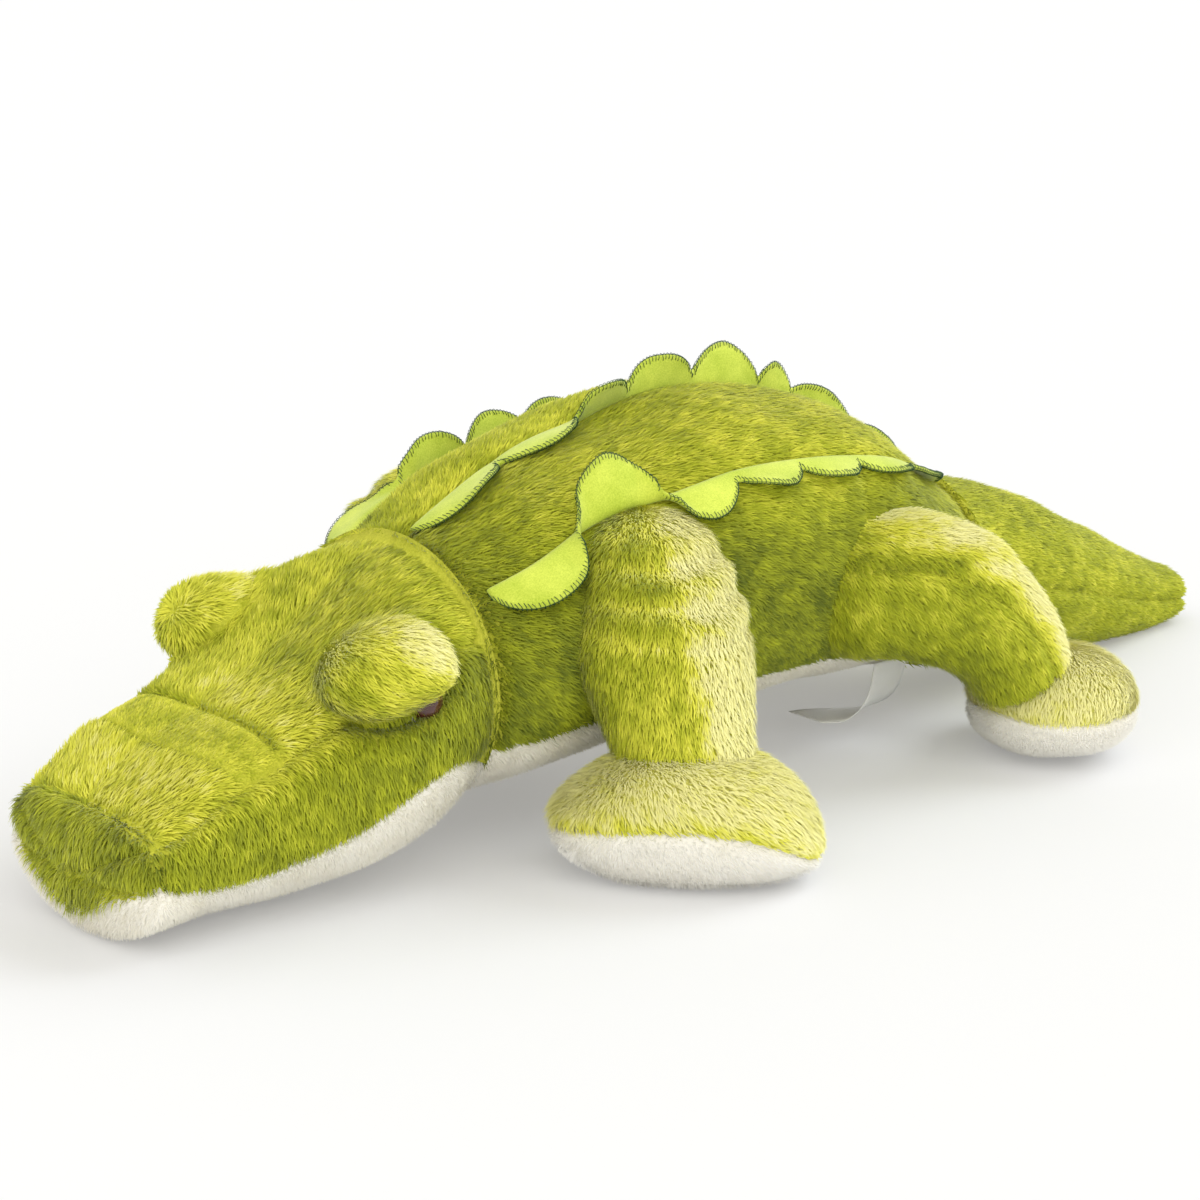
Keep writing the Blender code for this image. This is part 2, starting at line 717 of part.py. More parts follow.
# An eye on its stem, its washer inside the head, and the stuffed brow over it
def build_eye(side, mark, pivot):
    eye_share = 0.665
    brow_share = 0.65
    point, out = head_surface(eye_share, math.radians(EYE_ANGLE))
    mirror = np.array((1, mark, 1))
    point = point * mirror
    out = out * mirror
    base = point + out * GAP
    dome = []
    for row in range(EYE_ROWS + 1):
        angle = math.pi / 2 * row / EYE_ROWS
        dome.append((EYE_RADIUS * math.cos(angle) if row < EYE_ROWS else 0, EYE_RADIUS * math.sin(angle)))
    profile = [(0, -EYE_STEM_LENGTH), (EYE_STEM_RADIUS, -EYE_STEM_LENGTH), (EYE_STEM_RADIUS, 0)] + dome
    make_object(f"eye_{side}", turned_mesh(profile, base, out), eye_plastic, pivot)
    # Behind the cheek's inner face, clear of its curve
    sag = WASHER_RADIUS ** 2 / (HEAD_WIDTH / 4)
    seat = -FABRIC - sag - 2 * GAP
    hole = EYE_STEM_RADIUS + GAP
    ring = [
        (hole, seat),
        (WASHER_RADIUS, seat),
        (WASHER_RADIUS, seat - WASHER_THICKNESS),
        (hole, seat - WASHER_THICKNESS),
        (hole, seat),
    ]
    make_object(f"eye_washer_{side}", turned_mesh(ring, base, out), washer_plastic, pivot)
    deep = -EYE_STEM_LENGTH - GAP
    bore = [(0, deep), (hole, deep), (hole, EYE_RADIUS / 2), (0, EYE_RADIUS / 2)]
    wide = WASHER_RADIUS + GAP
    back = seat - WASHER_THICKNESS - GAP
    pocket = [(0, back), (wide, back), (wide, EYE_RADIUS), (0, EYE_RADIUS)]
    holes = [
        make_cutter(f"stem_bore_{side}", turned_mesh(bore, base, out)),
        make_cutter(f"washer_pocket_{side}", turned_mesh(pocket, base, out)),
    ]
    seat_point, seat_out = head_surface(brow_share, math.radians(BROW_ANGLE))
    centre = seat_point * mirror + np.array((0, -mark * BROW_OVERHANG, BROW_RISE))
    brow = Form(ball_form_rings(centre, (BROW_LENGTH / 2, BROW_WIDTH / 2, BROW_HEIGHT / 2)))
    piece = make_object(f"eye_brow_{side}", core_mesh(brow, 0), green_plush, pivot)
    wider = EYE_RADIUS + GAP
    ball = ball_form_rings(base, (wider, wider, wider))
    eye_room = make_cutter(f"eye_room_{side}", core_mesh(Form(ball), -GAP))
    head_room = make_cutter(f"brow_seat_{side}", core_mesh(head_form, -2 * GAP))
    cut(piece, [eye_room, head_room])
    return holes


# Rings of an egg round a centre, from its front pole to its back pole
def ball_form_rings(centre, radii):
    rows = BROW_ROWS
    angles = np.arange(BROW_COLUMNS) * 2 * math.pi / BROW_COLUMNS
    rings = []
    for row in range(rows + 1):
        tilt = math.pi * row / rows
        thin = math.sin(tilt) if 0 < row < rows else 0.0
        x = np.full_like(angles, -math.cos(tilt) * radii[0])
        y = thin * np.sin(angles) * radii[1]
        z = thin * np.cos(angles) * radii[2]
        rings.append(np.stack((x, y, z), axis=1) + centre)
    return rings


# The room round an ankle: its ball, opening up the leg as far as the foot tilts
def ankle_cutter(name, place, way, radius, knee_radius, reach):
    wide = radius / math.cos(math.pi / ROUND_SIDES) / math.cos(math.pi / 4 / ANKLE_BALL_ROWS) + GAP
    tilt = math.radians(FOOT_TILT)
    profile = [(0, wide)]
    for row in range(1, ANKLE_BALL_ROWS + 1):
        angle = (math.pi / 2 - tilt) * row / ANKLE_BALL_ROWS
        profile.append((wide * math.sin(angle), wide * math.cos(angle)))
    for leg_share in (0.5, 1.0):
        along = reach * leg_share
        thick = wide + SWING_GAP + (knee_radius - radius) * leg_share
        out = thick * math.cos(tilt) + along * math.sin(tilt)
        profile.append((out, thick * math.sin(tilt) - along * math.cos(tilt)))
    profile.append((0, profile[-1][1]))
    return make_cutter(name, turned_mesh(profile, place, way))


# A leg: round sections along a bent line from inside the body to the ankle ball
def build_leg_form(root, knee, ankle, root_radius, knee_radius, ankle_radius):
    root, knee, ankle = (np.array(place) for place in (root, knee, ankle))
    control = 2 * knee - (root + ankle) / 2
    angles = np.arange(LEG_COLUMNS) * 2 * math.pi / LEG_COLUMNS
    rings = []

    def ring(centre, way, radius):
        side = unit(np.cross(way, (0, 0, 1)))
        up = np.cross(side, way)
        turn = np.outer(np.cos(angles), side) + np.outer(np.sin(angles), up)
        rings.append(centre + turn * radius)

    for row in range(ROOT_ROWS):
        angle = math.pi / 2 * row / ROOT_ROWS
        way = unit(control - root)
        ring(root - way * root_radius * math.cos(angle), way, root_radius * math.sin(angle))
    for row in range(LEG_ROWS + 1):
        t = row / LEG_ROWS
        centre = root * (1 - t) ** 2 + control * 2 * t * (1 - t) + ankle * t ** 2
        way = unit((control - root) * (1 - t) + (ankle - control) * t)
        radius = float(through((0, 0.5, 1), (root_radius, knee_radius, ankle_radius), t))
        ring(centre, way, radius)
    for row in range(1, CAP_ROWS + 1):
        angle = math.pi / 2 * row / CAP_ROWS
        thin = math.cos(angle) if row < CAP_ROWS else 0.0
        ring(ankle + way * ankle_radius * math.sin(angle), way, ankle_radius * thin)
    return Form(rings)


# A foot: an oval pillow, its top and sole sewn together all round
def build_foot_form(centre, length, width, yaw, lift):
    angles = np.arange(FOOT_COLUMNS) * 2 * math.pi / FOOT_COLUMNS
    square = 2 / FOOT_BOXINESS
    along = np.sign(np.cos(angles)) * np.abs(np.cos(angles)) ** square * length / 2
    across = np.sign(np.sin(angles)) * np.abs(np.sin(angles)) ** square * width / 2
    rings = []
    rows = FOOT_TOP_ROWS + SOLE_ROWS
    for row in range(rows + 1):
        if row <= FOOT_TOP_ROWS:
            tilt = math.pi / 2 * row / FOOT_TOP_ROWS
            height = SOLE_HEIGHT + (FOOT_HEIGHT - SOLE_HEIGHT) * math.cos(tilt)
        else:
            tilt = math.pi / 2 * (1 + (row - FOOT_TOP_ROWS) / SOLE_ROWS)
            height = SOLE_HEIGHT * (1 + math.cos(tilt))
        wide = math.sin(tilt) ** PILLOW_BEND if 0 < row < rows else 0.0
        rings.append(np.stack((along * wide, across * wide, np.full_like(along, height)), axis=1))
    form = Form(rings)
    pose = Matrix.Rotation(math.radians(yaw), 4, "Z") @ Matrix.Rotation(math.radians(lift), 4, "Y")
    form = form.moved(pose)
    drop = -FLOOR_CUT - float(form.rings[..., 2].min())
    return form.moved(Matrix.Translation((centre[0], centre[1], drop)))


# One limb: a leg sewn to the body, cut to lie against it as it swings, and its foot
def build_limb(name, side, leg_form, foot_form, shoulder, knee, ankle, radii, yaw, room):
    mark = 1 if side == "left" else -1
    if side == "right":
        leg_form = leg_form.mirrored()
        foot_form = foot_form.mirrored()
    shoulder = Vector((shoulder[0], shoulder[1] * mark, shoulder[2]))
    knee = Vector((knee[0], knee[1] * mark, knee[2]))
    ankle = Vector((ankle[0], ankle[1] * mark, ankle[2]))
    pivot = make_pivot(f"{name}_leg_{side}_pivot", shoulder)
    skin_rows = (0, ROOT_ROWS + LEG_ROWS + CAP_ROWS // 2)
    skin = make_object(f"{name}_leg_{side}", panel_mesh(leg_form, skin_rows, None), green_plush, pivot)
    filling = core_mesh(leg_form, FABRIC + GAP)
    stuffing = make_object(f"{name}_leg_{side}_stuffing", filling, fibre_fill, pivot)
    for piece in (skin, stuffing):
        cut(piece, room)

    foot_pivot = make_pivot(f"{name}_foot_{side}_pivot", ankle)
    turn = math.radians(yaw) * mark
    axis = Vector((-math.sin(turn), math.cos(turn), 0)) * mark
    shin = ankle - knee
    way = shin.normalized()
    ankle_room = ankle_cutter(f"{name}_ankle_{side}_room", ankle, way, radii[2], radii[1], shin.length)
    rows = FOOT_TOP_ROWS + SOLE_ROWS
    top_mesh = panel_mesh(foot_form, (0, FOOT_TOP_ROWS), None, ends=(0.0, GAP / 2))
    sole_mesh = panel_mesh(foot_form, (FOOT_TOP_ROWS, rows), None, ends=(GAP / 2, 0.0))
    top = make_object(f"{name}_foot_{side}_top", top_mesh, green_plush, foot_pivot)
    sole = make_object(f"{name}_foot_{side}_sole", sole_mesh, white_plush, foot_pivot)
    filling = core_mesh(foot_form, FABRIC + GAP)
    stuffing = make_object(f"{name}_foot_{side}_stuffing", filling, fibre_fill, foot_pivot)
    for piece in (top, sole, stuffing):
        cut(piece, [ankle_room])
    print("joint", pivot.name, [round(c, 5) for c in shoulder])
    print("joint", foot_pivot.name, [round(c, 5) for c in ankle], "axis", [round(c, 5) for c in axis])


def body_side(x):
    return body_outline.at((x - NECK_X) / BODY_LENGTH)[0]


def build_limbs():
    shoulder_x = NECK_X + SHOULDER_BACK
    side = body_side(shoulder_x)
    shoulder = (shoulder_x, -(side - SHOULDER_INSET), SHOULDER_HEIGHT)
    foot = (shoulder_x - FRONT_FOOT_FORWARD, -(side + FRONT_FOOT_REACH))
    ankle = (foot[0], foot[1], FRONT_ANKLE_HEIGHT)
    knee = ((shoulder[0] + ankle[0]) / 2, (shoulder[1] + ankle[1]) / 2, FRONT_KNEE_HEIGHT)
    radii = (FRONT_LEG_THICKNESS / 2, FRONT_LEG_THICKNESS / 2, FRONT_ANKLE_THICKNESS / 2)
    leg_form = build_leg_form(shoulder, knee, ankle, *radii)
    yaw = -FRONT_FOOT_YAW
    foot_form = build_foot_form(foot, FRONT_FOOT_LENGTH, FRONT_FOOT_WIDTH, yaw, 0.0)
    room = swept_cutters("shoulder_room", body_form, Vector(shoulder), "Y", LEG_SWING)
    for side_name in ("left", "right"):
        build_limb("front", side_name, leg_form, foot_form, shoulder, knee, ankle, radii, yaw, room)

    hip_x = TAIL_X - HIP_FORWARD
    side = body_side(hip_x)
    hip = (hip_x, -(side - HIP_INSET), HIP_HEIGHT)
    foot = (hip_x + HIND_FOOT_BACK, -(side + HIND_FOOT_REACH))
    ankle = (foot[0] - HIND_ANKLE_LEAD, foot[1], HIND_ANKLE_HEIGHT)
    knee_share = 0.62
    knee = [near + (far - near) * knee_share for near, far in zip(hip, ankle)]
    knee[2] = HIND_KNEE_HEIGHT
    radii = (HIND_LEG_THICKNESS / 2, HIND_KNEE_THICKNESS / 2, HIND_ANKLE_THICKNESS / 2)
    leg_form = build_leg_form(hip, knee, ankle, *radii)
    yaw = -HIND_FOOT_YAW
    foot_form = build_foot_form(foot, HIND_FOOT_LENGTH, HIND_FOOT_WIDTH, yaw, -HIND_TOE_LIFT)
    room = swept_cutters("hip_room", body_form, Vector(hip), "Y", LEG_SWING)
    for side_name in ("left", "right"):
        build_limb("hind", side_name, leg_form, foot_form, hip, knee, ankle, radii, yaw, room)


def build_tail():
    pivot = make_pivot("tail_pivot", tail_place)
    rump = Form(body_form.rings[-CAP_ROWS - END_ROWS : -CAP_ROWS])
    room = swept_cutters("rump_room", rump, tail_place, "Z", TAIL_SWAY, END_STEPS)
    half_height = (TAIL_ROOT_TOP - TAIL_ROOT_CLEARANCE) / 2
    ball = ball_cutter("tail_room", tail_place, TAIL_BALL_RADIUS, TAIL_ROOT_WIDTH / 2, half_height)
    rows = (0, TAIL_ROWS + CAP_ROWS - 1)
    pieces = (
        make_object("tail_stuffing", core_mesh(tail_form, FABRIC + GAP), fibre_fill, pivot),
        make_object("tail_top_panel", panel_mesh(tail_form, rows, (-4, 4)), green_plush, pivot),
        make_object("tail_under_panel", panel_mesh(tail_form, rows, (4, 12)), green_plush, pivot),
    )
    for piece in pieces:
        cut(piece, [ball, *room])


# The care label hangs from the left belly seam and lies on the floor under the belly
def build_label():
    root, out = seam_line(8, 1 - LABEL_FORWARD / BODY_LENGTH)
    half = LABEL_THICKNESS / 2
    top = root[2] - LABEL_THICKNESS - GAP
    low = half + GAP
    pivot = make_pivot("label_pivot", (root[0], root[1], top))
    bm = bmesh.new()
    front = []
    back = []
    for row in range(LABEL_ROWS + 1):
        angle = math.pi / 2 * row / LABEL_ROWS
        y = root[1] + LABEL_REACH * (1 - math.cos(angle))
        z = low + (top - low) * (1 - math.sin(angle))
        along = unit(np.array((0, LABEL_REACH * math.sin(angle), -(top - low) * math.cos(angle))))
        flat = np.array((0, -along[2], along[1])) * half
        for rows, mark in ((front, 1), (back, -1)):
            ends = (root[0] - LABEL_WIDTH / 2, root[0] + LABEL_WIDTH / 2)
            rows.append([bm.verts.new((x, y + flat[1] * mark, z + flat[2] * mark)) for x in ends])
    add_quads(bm, front)
    add_quads(bm, back)
    for end in (0, -1):
        add_quads(bm, [front[end], back[end]])
        add_quads(bm, [[row[end] for row in front], [row[end] for row in back]])
    make_object("care_label", bm, white_satin, pivot)
    print("joint label", [round(c, 5) for c in (root[0], root[1], top)])


build_body()
build_label()
build_strip("scale_strip_left", 3, left_scale_leans, side_height_shares, 1)
build_strip("scale_strip_right", 19, right_scale_leans, side_height_shares, -1)
build_strip("scale_strip_spine", 0, spine_scale_leans, spine_height_shares, 1)
build_head()
build_limbs()
build_tail()
print("joint neck", [round(c, 5) for c in neck_place], "tail", [round(c, 5) for c in tail_place])
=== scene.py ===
import math

import bmesh
import bpy
import numpy as np
from mathutils import Matrix, Vector, noise


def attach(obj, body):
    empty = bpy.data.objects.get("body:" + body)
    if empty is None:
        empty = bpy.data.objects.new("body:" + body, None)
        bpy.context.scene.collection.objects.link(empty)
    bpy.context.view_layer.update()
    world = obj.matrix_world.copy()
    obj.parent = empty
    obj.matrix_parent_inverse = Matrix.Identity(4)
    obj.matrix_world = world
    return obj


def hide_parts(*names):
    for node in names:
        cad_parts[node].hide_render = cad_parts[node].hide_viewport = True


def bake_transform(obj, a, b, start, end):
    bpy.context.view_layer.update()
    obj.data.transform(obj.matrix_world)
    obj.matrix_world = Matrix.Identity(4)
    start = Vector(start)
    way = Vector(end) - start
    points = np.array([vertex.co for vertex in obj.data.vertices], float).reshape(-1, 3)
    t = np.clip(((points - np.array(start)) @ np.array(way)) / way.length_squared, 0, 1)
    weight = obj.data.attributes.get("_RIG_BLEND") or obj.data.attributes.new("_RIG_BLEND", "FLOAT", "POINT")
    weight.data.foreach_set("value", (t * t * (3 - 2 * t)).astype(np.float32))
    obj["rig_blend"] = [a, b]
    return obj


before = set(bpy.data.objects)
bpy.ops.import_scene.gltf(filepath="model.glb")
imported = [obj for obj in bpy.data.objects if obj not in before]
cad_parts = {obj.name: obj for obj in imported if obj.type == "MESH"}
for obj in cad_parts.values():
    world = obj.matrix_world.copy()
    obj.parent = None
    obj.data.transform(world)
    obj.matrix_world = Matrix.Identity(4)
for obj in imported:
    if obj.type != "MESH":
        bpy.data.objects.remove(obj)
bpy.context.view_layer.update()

# A plush crocodile, in metres. The nose points to -X, the toy's left side to -Y, the floor is z = 0.
mm = 0.001
neckX = -0.146      # the seam between head and body
tailX = 0.088       # the seam between body and tail
lowest = 0.4 * mm   # how far every skin stays above the floor
tiny = 1e-7         # a row of a grid that is smaller than this is a point
print("frame loaded:", len(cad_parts), "nodes")


# A smooth curve through chosen values
def curve(places, values, at):
    places, values = np.asarray(places, float), np.asarray(values, float)
    slopes = np.gradient(values, places)
    at = np.clip(np.asarray(at, float), places[0], places[-1])
    k = np.clip(np.searchsorted(places, at, side="right") - 1, 0, len(places) - 2)
    span = places[k + 1] - places[k]
    t = (at - places[k]) / span
    start = values[k] * (1 + 2 * t) * (1 - t) ** 2 + slopes[k] * span * t * (1 - t) ** 2
    return start + values[k + 1] * t ** 2 * (3 - 2 * t) + slopes[k + 1] * span * t ** 2 * (t - 1)


# Half width, top, underside and boxiness of a form at a place along it, in mm
def section(look, at):
    table = np.array(look["table"], float)
    return [curve(table[:, 0], table[:, k], at) for k in (1, 2, 3, 4)]


def unit(vectors):
    return vectors / np.maximum(np.linalg.norm(vectors, axis=-1, keepdims=True), 1e-12)


def ridge(distance, width):         # 1 on a line, falling softly to 0 beside it
    return np.exp(-(distance / width) ** 2)


def ramp(low, high, value):
    t = np.clip((value - low) / (high - low), 0, 1)
    return t * t * (3 - 2 * t)


def lumps(points, size, seed):      # soft unevenness, about -1 to 1
    flat = points.reshape(-1, 3) / size + seed * 17.3
    return np.array([noise.noise(Vector(p)) for p in flat]).reshape(points.shape[:-1])


# Joins numbers and arrays into vectors
def joined(*parts):
    return np.stack(np.broadcast_arrays(*parts), -1)


def node(tree, kind, inputs=None, **settings):
    made = tree.nodes.new(kind)
    for key, value in settings.items():
        setattr(made, key, value)
    for key, value in (inputs or {}).items():
        if isinstance(value, bpy.types.NodeSocket):
            tree.links.new(value, made.inputs[key])
        else:
            made.inputs[key].default_value = value
    return made


def calc(tree, operation, a, b=0.0):
    return node(tree, "ShaderNodeMath", {0: a, 1: b}, operation=operation).outputs[0]


def vectors(tree, operation, a, b, at=1):
    return node(tree, "ShaderNodeVectorMath", {0: a, at: b}, operation=operation).outputs[0]


def combined(tree, *parts):
    return node(tree, "ShaderNodeCombineXYZ", dict(enumerate(parts))).outputs[0]


def remap(tree, value, *limits):
    return node(tree, "ShaderNodeMapRange", {0: value, **dict(enumerate(limits, 1))}).outputs[0]


def randoms(tree, low, high, seed):
    return node(tree, "FunctionNodeRandomValue", {2: low, 3: high, "Seed": seed}, data_type="FLOAT").outputs[1]


def named(tree, name, kind="FLOAT"):
    return node(tree, "GeometryNodeInputNamedAttribute", {"Name": name}, data_type=kind).outputs[0]


def mixed(tree, factor, a, b, blend="MIX"):
    made = node(tree, "ShaderNodeMix", {0: factor, 6: a, 7: b}, data_type="RGBA", blend_type=blend)
    return made.outputs[2]


def group(name, inputs, outputs, kind="ShaderNodeTree"):
    tree = bpy.data.node_groups.new(name, kind)
    for title, socket, value in inputs:
        made = tree.interface.new_socket(title, in_out="INPUT", socket_type="NodeSocket" + socket)
        if value is not None:
            made.default_value = value
    for title, socket in outputs:
        tree.interface.new_socket(title, in_out="OUTPUT", socket_type="NodeSocket" + socket)
    return tree, tree.nodes.new("NodeGroupInput").outputs, tree.nodes.new("NodeGroupOutput").inputs


tints = ("Deep", "Middle", "Bright", "Pale")


# Pile colour, from its tone and how far up the strand a point lies. Towards the root it darkens, partly the pile's own
# darker roots and partly painted shade deep in the pile.
def makePileTone():
    tree, given, made = group("pileTone", [
        ("Tone", "Float", 0.5), ("Along", "Float", 0.5), ("Root Shade", "Float", 0.4),
        *((tint, "Color", (0.5, 0.5, 0.5, 1)) for tint in tints),
    ], [("Color", "Color")])
    tint = given["Deep"]
    for start, end, colour in ((0.0, 0.4, "Middle"), (0.4, 0.7, "Bright"), (0.7, 1.0, "Pale")):
        tint = mixed(tree, remap(tree, given["Tone"], start, end), tint, given[colour])
    # painted shade towards the roots, together with the pile's own darker roots
    shade = remap(tree, given["Along"], 0.0, 0.75, given["Root Shade"], 1.0)
    tree.links.new(mixed(tree, 1.0, tint, shade, "MULTIPLY"), made["Color"])
    return tree


# Fibres and mottling in object space, for cloth, felt and satin
def makeFibre():
    tree, given, made = group("fibre", [
        ("Coordinate", "Vector", None), ("Size", "Float", 0.001), ("Stretch", "Vector", (1, 1, 1)),
    ], [("Fine", "Float"), ("Patch", "Float")])
    scale = calc(tree, "DIVIDE", 1.0, given["Size"])
    place = vectors(tree, "MULTIPLY", given["Coordinate"], given["Stretch"])
    fine = node(tree, "ShaderNodeTexNoise", {"Vector": place, "Scale": scale, "Detail": 4.0})
    patch = node(tree, "ShaderNodeTexNoise", {"Vector": given["Coordinate"], "Scale": 90.0, "Detail": 3.0})
    tree.links.new(fine.outputs[0], made["Fine"])
    tree.links.new(patch.outputs[0], made["Patch"])
    return tree


pileTone = makePileTone()
fibre = makeFibre()


def material(name, roughness, sheen=0.0, specular=0.5, coat=0.0):
    made = bpy.data.materials.new(name)
    made.use_nodes = True
    shader = made.node_tree.nodes["Principled BSDF"]
    for key, value in (("Roughness", roughness), ("Sheen Weight", sheen), ("Sheen Roughness", 0.45),
                       ("Specular IOR Level", specular), ("Coat Weight", coat)):
        shader.inputs[key].default_value = value
    return made, made.node_tree, shader


def pileMaterial(name, colours, rootShade, roughness, sheen):
    made, tree, shader = material(name, roughness, sheen, 0.25)
    place = node(tree, "ShaderNodeUVMap", uv_map="OFBake").outputs[0]
    parts = node(tree, "ShaderNodeSeparateXYZ", {0: place}).outputs
    tone = node(tree, "ShaderNodeGroup", {
        "Tone": parts[0], "Along": parts[1], "Root Shade": rootShade,
        **{tint: (*colour, 1) for tint, colour in zip(tints, colours)}}, node_tree=pileTone)
    tree.links.new(tone.outputs[0], shader.inputs["Base Color"])
    return made


def grain(tree, size, stretch):
    place = node(tree, "ShaderNodeTexCoord").outputs["Object"]
    return node(tree, "ShaderNodeGroup", {"Coordinate": place, "Size": size * mm, "Stretch": stretch},
                node_tree=fibre).outputs


def fibreMaterial(name, dark, light, size, stretch, depth, roughness, sheen=0.0):
    made, tree, shader = material(name, roughness, sheen, 0.3)
    fibres = grain(tree, size, stretch)
    both = calc(tree, "MULTIPLY", calc(tree, "ADD", fibres["Fine"], fibres["Patch"]), 0.5)
    tint = mixed(tree, remap(tree, both, 0.32, 0.68), (*dark, 1), (*light, 1))
    tree.links.new(tint, shader.inputs["Base Color"])
    bump = node(tree, "ShaderNodeBump", {"Strength": 0.6, "Distance": depth * mm, "Height": fibres["Fine"]})
    tree.links.new(bump.outputs[0], shader.inputs["Normal"])
    return made


def makeEyeGloss():
    made, tree, shader = material("eyeGloss", 0.08, coat=0.6)
    fine = grain(tree, 2.0, (1, 1, 1))["Fine"]
    tree.links.new(mixed(tree, fine, (0.035, 0.010, 0.008, 1), (0.10, 0.022, 0.016, 1)), shader.inputs["Base Color"])
    return made


pileLook = {
    # four colours from deep to pale, shade at the root, roughness, sheen
    "greenPile": (((0.13, 0.17, 0.006), (0.48, 0.53, 0.018), (0.88, 0.87, 0.08), (1.0, 0.97, 0.44)), 0.82, 0.62, 0.25),
    "whitePile": (((0.86, 0.83, 0.72), (0.94, 0.92, 0.84), (0.96, 0.95, 0.90), (0.98, 0.97, 0.93)), 0.95, 0.8, 0.2),
}
even = (1, 1, 1)
fibreLook = {
    # dark and light colour, size of the fibres in mm, their stretch, depth in mm, roughness, sheen
    "greenCloth": ((0.46, 0.49, 0.03), (0.74, 0.74, 0.08), 0.7, even, 0.3, 0.95),
    # paleCloth lies under the feet's pile and carries the same painted highlight
    "paleCloth": ((0.74, 0.74, 0.14), (0.92, 0.90, 0.30), 0.7, even, 0.3, 0.95),
    "whiteCloth": ((0.86, 0.83, 0.73), (0.96, 0.94, 0.88), 0.6, even, 0.3, 0.9, 0.2),
    "limeFelt": ((0.44, 0.58, 0.04), (0.76, 0.86, 0.12), 0.5, even, 0.15, 0.85, 0.3),
    "washerPlastic": ((0.80, 0.80, 0.78), (0.88, 0.88, 0.86), 3, even, 0.02, 0.4),
    "darkThread": ((0.018, 0.05, 0.02), (0.06, 0.14, 0.05), 0.3, even, 0.1, 0.6),
    "satinTape": ((0.92, 0.92, 0.90), (0.97, 0.97, 0.96), 0.35, (0.15, 3, 1), 0.06, 0.35),
}
greenPile, whitePile = (pileMaterial(name, *look) for name, look in pileLook.items())
greenCloth, paleCloth, whiteCloth, limeFelt, washerPlastic, darkThread, satinTape = (
    fibreMaterial(name, *look) for name, look in fibreLook.items())
eyeGloss = makeEyeGloss()
print("materials made:", len(bpy.data.materials))


# Points of a lofted form. Rows are (place along, where the section is read, its scale), all in mm.
# Columns run from the top seam by the left side to the bottom and back, evenly between the seams.
def loft(look, rows, seams, counts):
    fine = np.radians(np.linspace(0, 180, 721))
    grid = []
    for place, read, scale in rows:
        half, top, under, boxy = (float(value) for value in section(look, read))
        power = 2 / np.where(fine > math.pi / 2, look.get("lowBoxy", boxy), boxy)
        across = -half * scale * np.sin(fine) ** power
        up = np.sign(np.cos(fine)) * np.abs(np.cos(fine)) ** power
        tall = (top + under) / 2 + (top - under) / 2 * scale * up
        length = np.concatenate(([0], np.cumsum(np.hypot(np.diff(across), np.diff(tall)))))
        marks = [0.0] + [float(curve(*seam, read / look["length"])) for seam in seams] + [180.0]
        marks = np.interp(np.radians(marks), fine, length)
        steps = [np.linspace(a, b, n, endpoint=False) for a, b, n in zip(marks, marks[1:], counts)]
        steps = np.append(np.concatenate(steps), length[-1])
        y, z = np.interp(steps, length, across), np.interp(steps, length, tall)
        y, z = np.append(y, -y[-2:0:-1]), np.append(z, z[-2:0:-1])
        grid.append(joined(place, y, z))
    return np.array(grid) * mm + (look["start"], 0, 0)


def isPoint(row):
    return np.ptp(row, axis=0).max() < tiny


def outward(grid, closed=True):
    along = np.gradient(grid, axis=0)
    around = np.roll(grid, -1, 1) - np.roll(grid, 1, 1) if closed else np.gradient(grid, axis=1)
    normals = unit(np.cross(around, along))
    middle = len(grid) // 2
    if closed and np.sum(normals[middle] * (grid[middle] - grid[middle].mean(0))) < 0:
        normals = -normals
    for end, inner in ((0, 1), (-1, -2)):
        if isPoint(grid[end]):
            normals[end] = unit(grid[end].mean(0) - grid[inner].mean(0))
    return normals


# How far each point of a row lies from the nearest of some columns, along the row
def seamGap(grid, columns):
    steps = np.linalg.norm(np.roll(grid, -1, 1) - grid, axis=2)
    place = np.cumsum(steps, 1) - steps
    total = steps.sum(1, keepdims=True)
    gap = np.full(place.shape, 1.0)
    for column in columns:
        apart = np.abs(place - place[:, column:column + 1])
        gap = np.minimum(gap, np.minimum(apart, total - apart))
    return gap


# How many columns each column lies from the top seam
def fromTop(grid):
    column = np.arange(grid.shape[1])
    return np.minimum(column, grid.shape[1] - column)[None, :]


# A mesh of a grid or part of one. Rows drawn together to a point become one vertex.
def gridMesh(name, grid, normals, wrap, values=None):
    number = np.zeros(grid.shape[:2], int)
    points, source, faces = [], [], []
    for r, row in enumerate(grid):
        pole = isPoint(row)
        for c, place in enumerate(row):
            if not (c and pole):
                points.append(place)
                source.append((r, c))
            number[r, c] = len(points) - 1
    for r in range(len(grid) - 1):
        for c in range(grid.shape[1] if wrap else grid.shape[1] - 1):
            d = (c + 1) % grid.shape[1]
            faces.append(list(dict.fromkeys((number[r, c], number[r, d], number[r + 1, d], number[r + 1, c]))))
    r, c = len(grid) // 2, grid.shape[1] // 3
    face = np.cross(grid[r, c + 1] - grid[r, c], grid[r + 1, c + 1] - grid[r, c])
    if np.dot(face, normals[r, c]) < 0:
        faces = [face[::-1] for face in faces]
    mesh = bpy.data.meshes.new(name)
    mesh.from_pydata(points, [], faces)
    rows, columns = np.transpose(source)
    for key, array in (values or {}).items():
        store(mesh, key, array[rows, columns])
    mesh.shade_smooth()
    return mesh


def store(mesh, key, array):
    kind, field = ("FLOAT_VECTOR", "vector") if array.ndim == 2 else ("FLOAT", "value")
    mesh.attributes.new(key, kind, "POINT").data.foreach_set(field, array.astype(np.float32).ravel())


# A mesh of points and faces, with its faces turned outwards
def solidMesh(name, points, faces):
    bm = bmesh.new()
    made = [bm.verts.new(place) for place in points]
    for face in faces:
        bm.faces.new([made[k] for k in face])
    bmesh.ops.recalc_face_normals(bm, faces=bm.faces)
    mesh = bpy.data.meshes.new(name)
    bm.to_mesh(mesh)
    bm.free()
    mesh.shade_smooth()
    return mesh


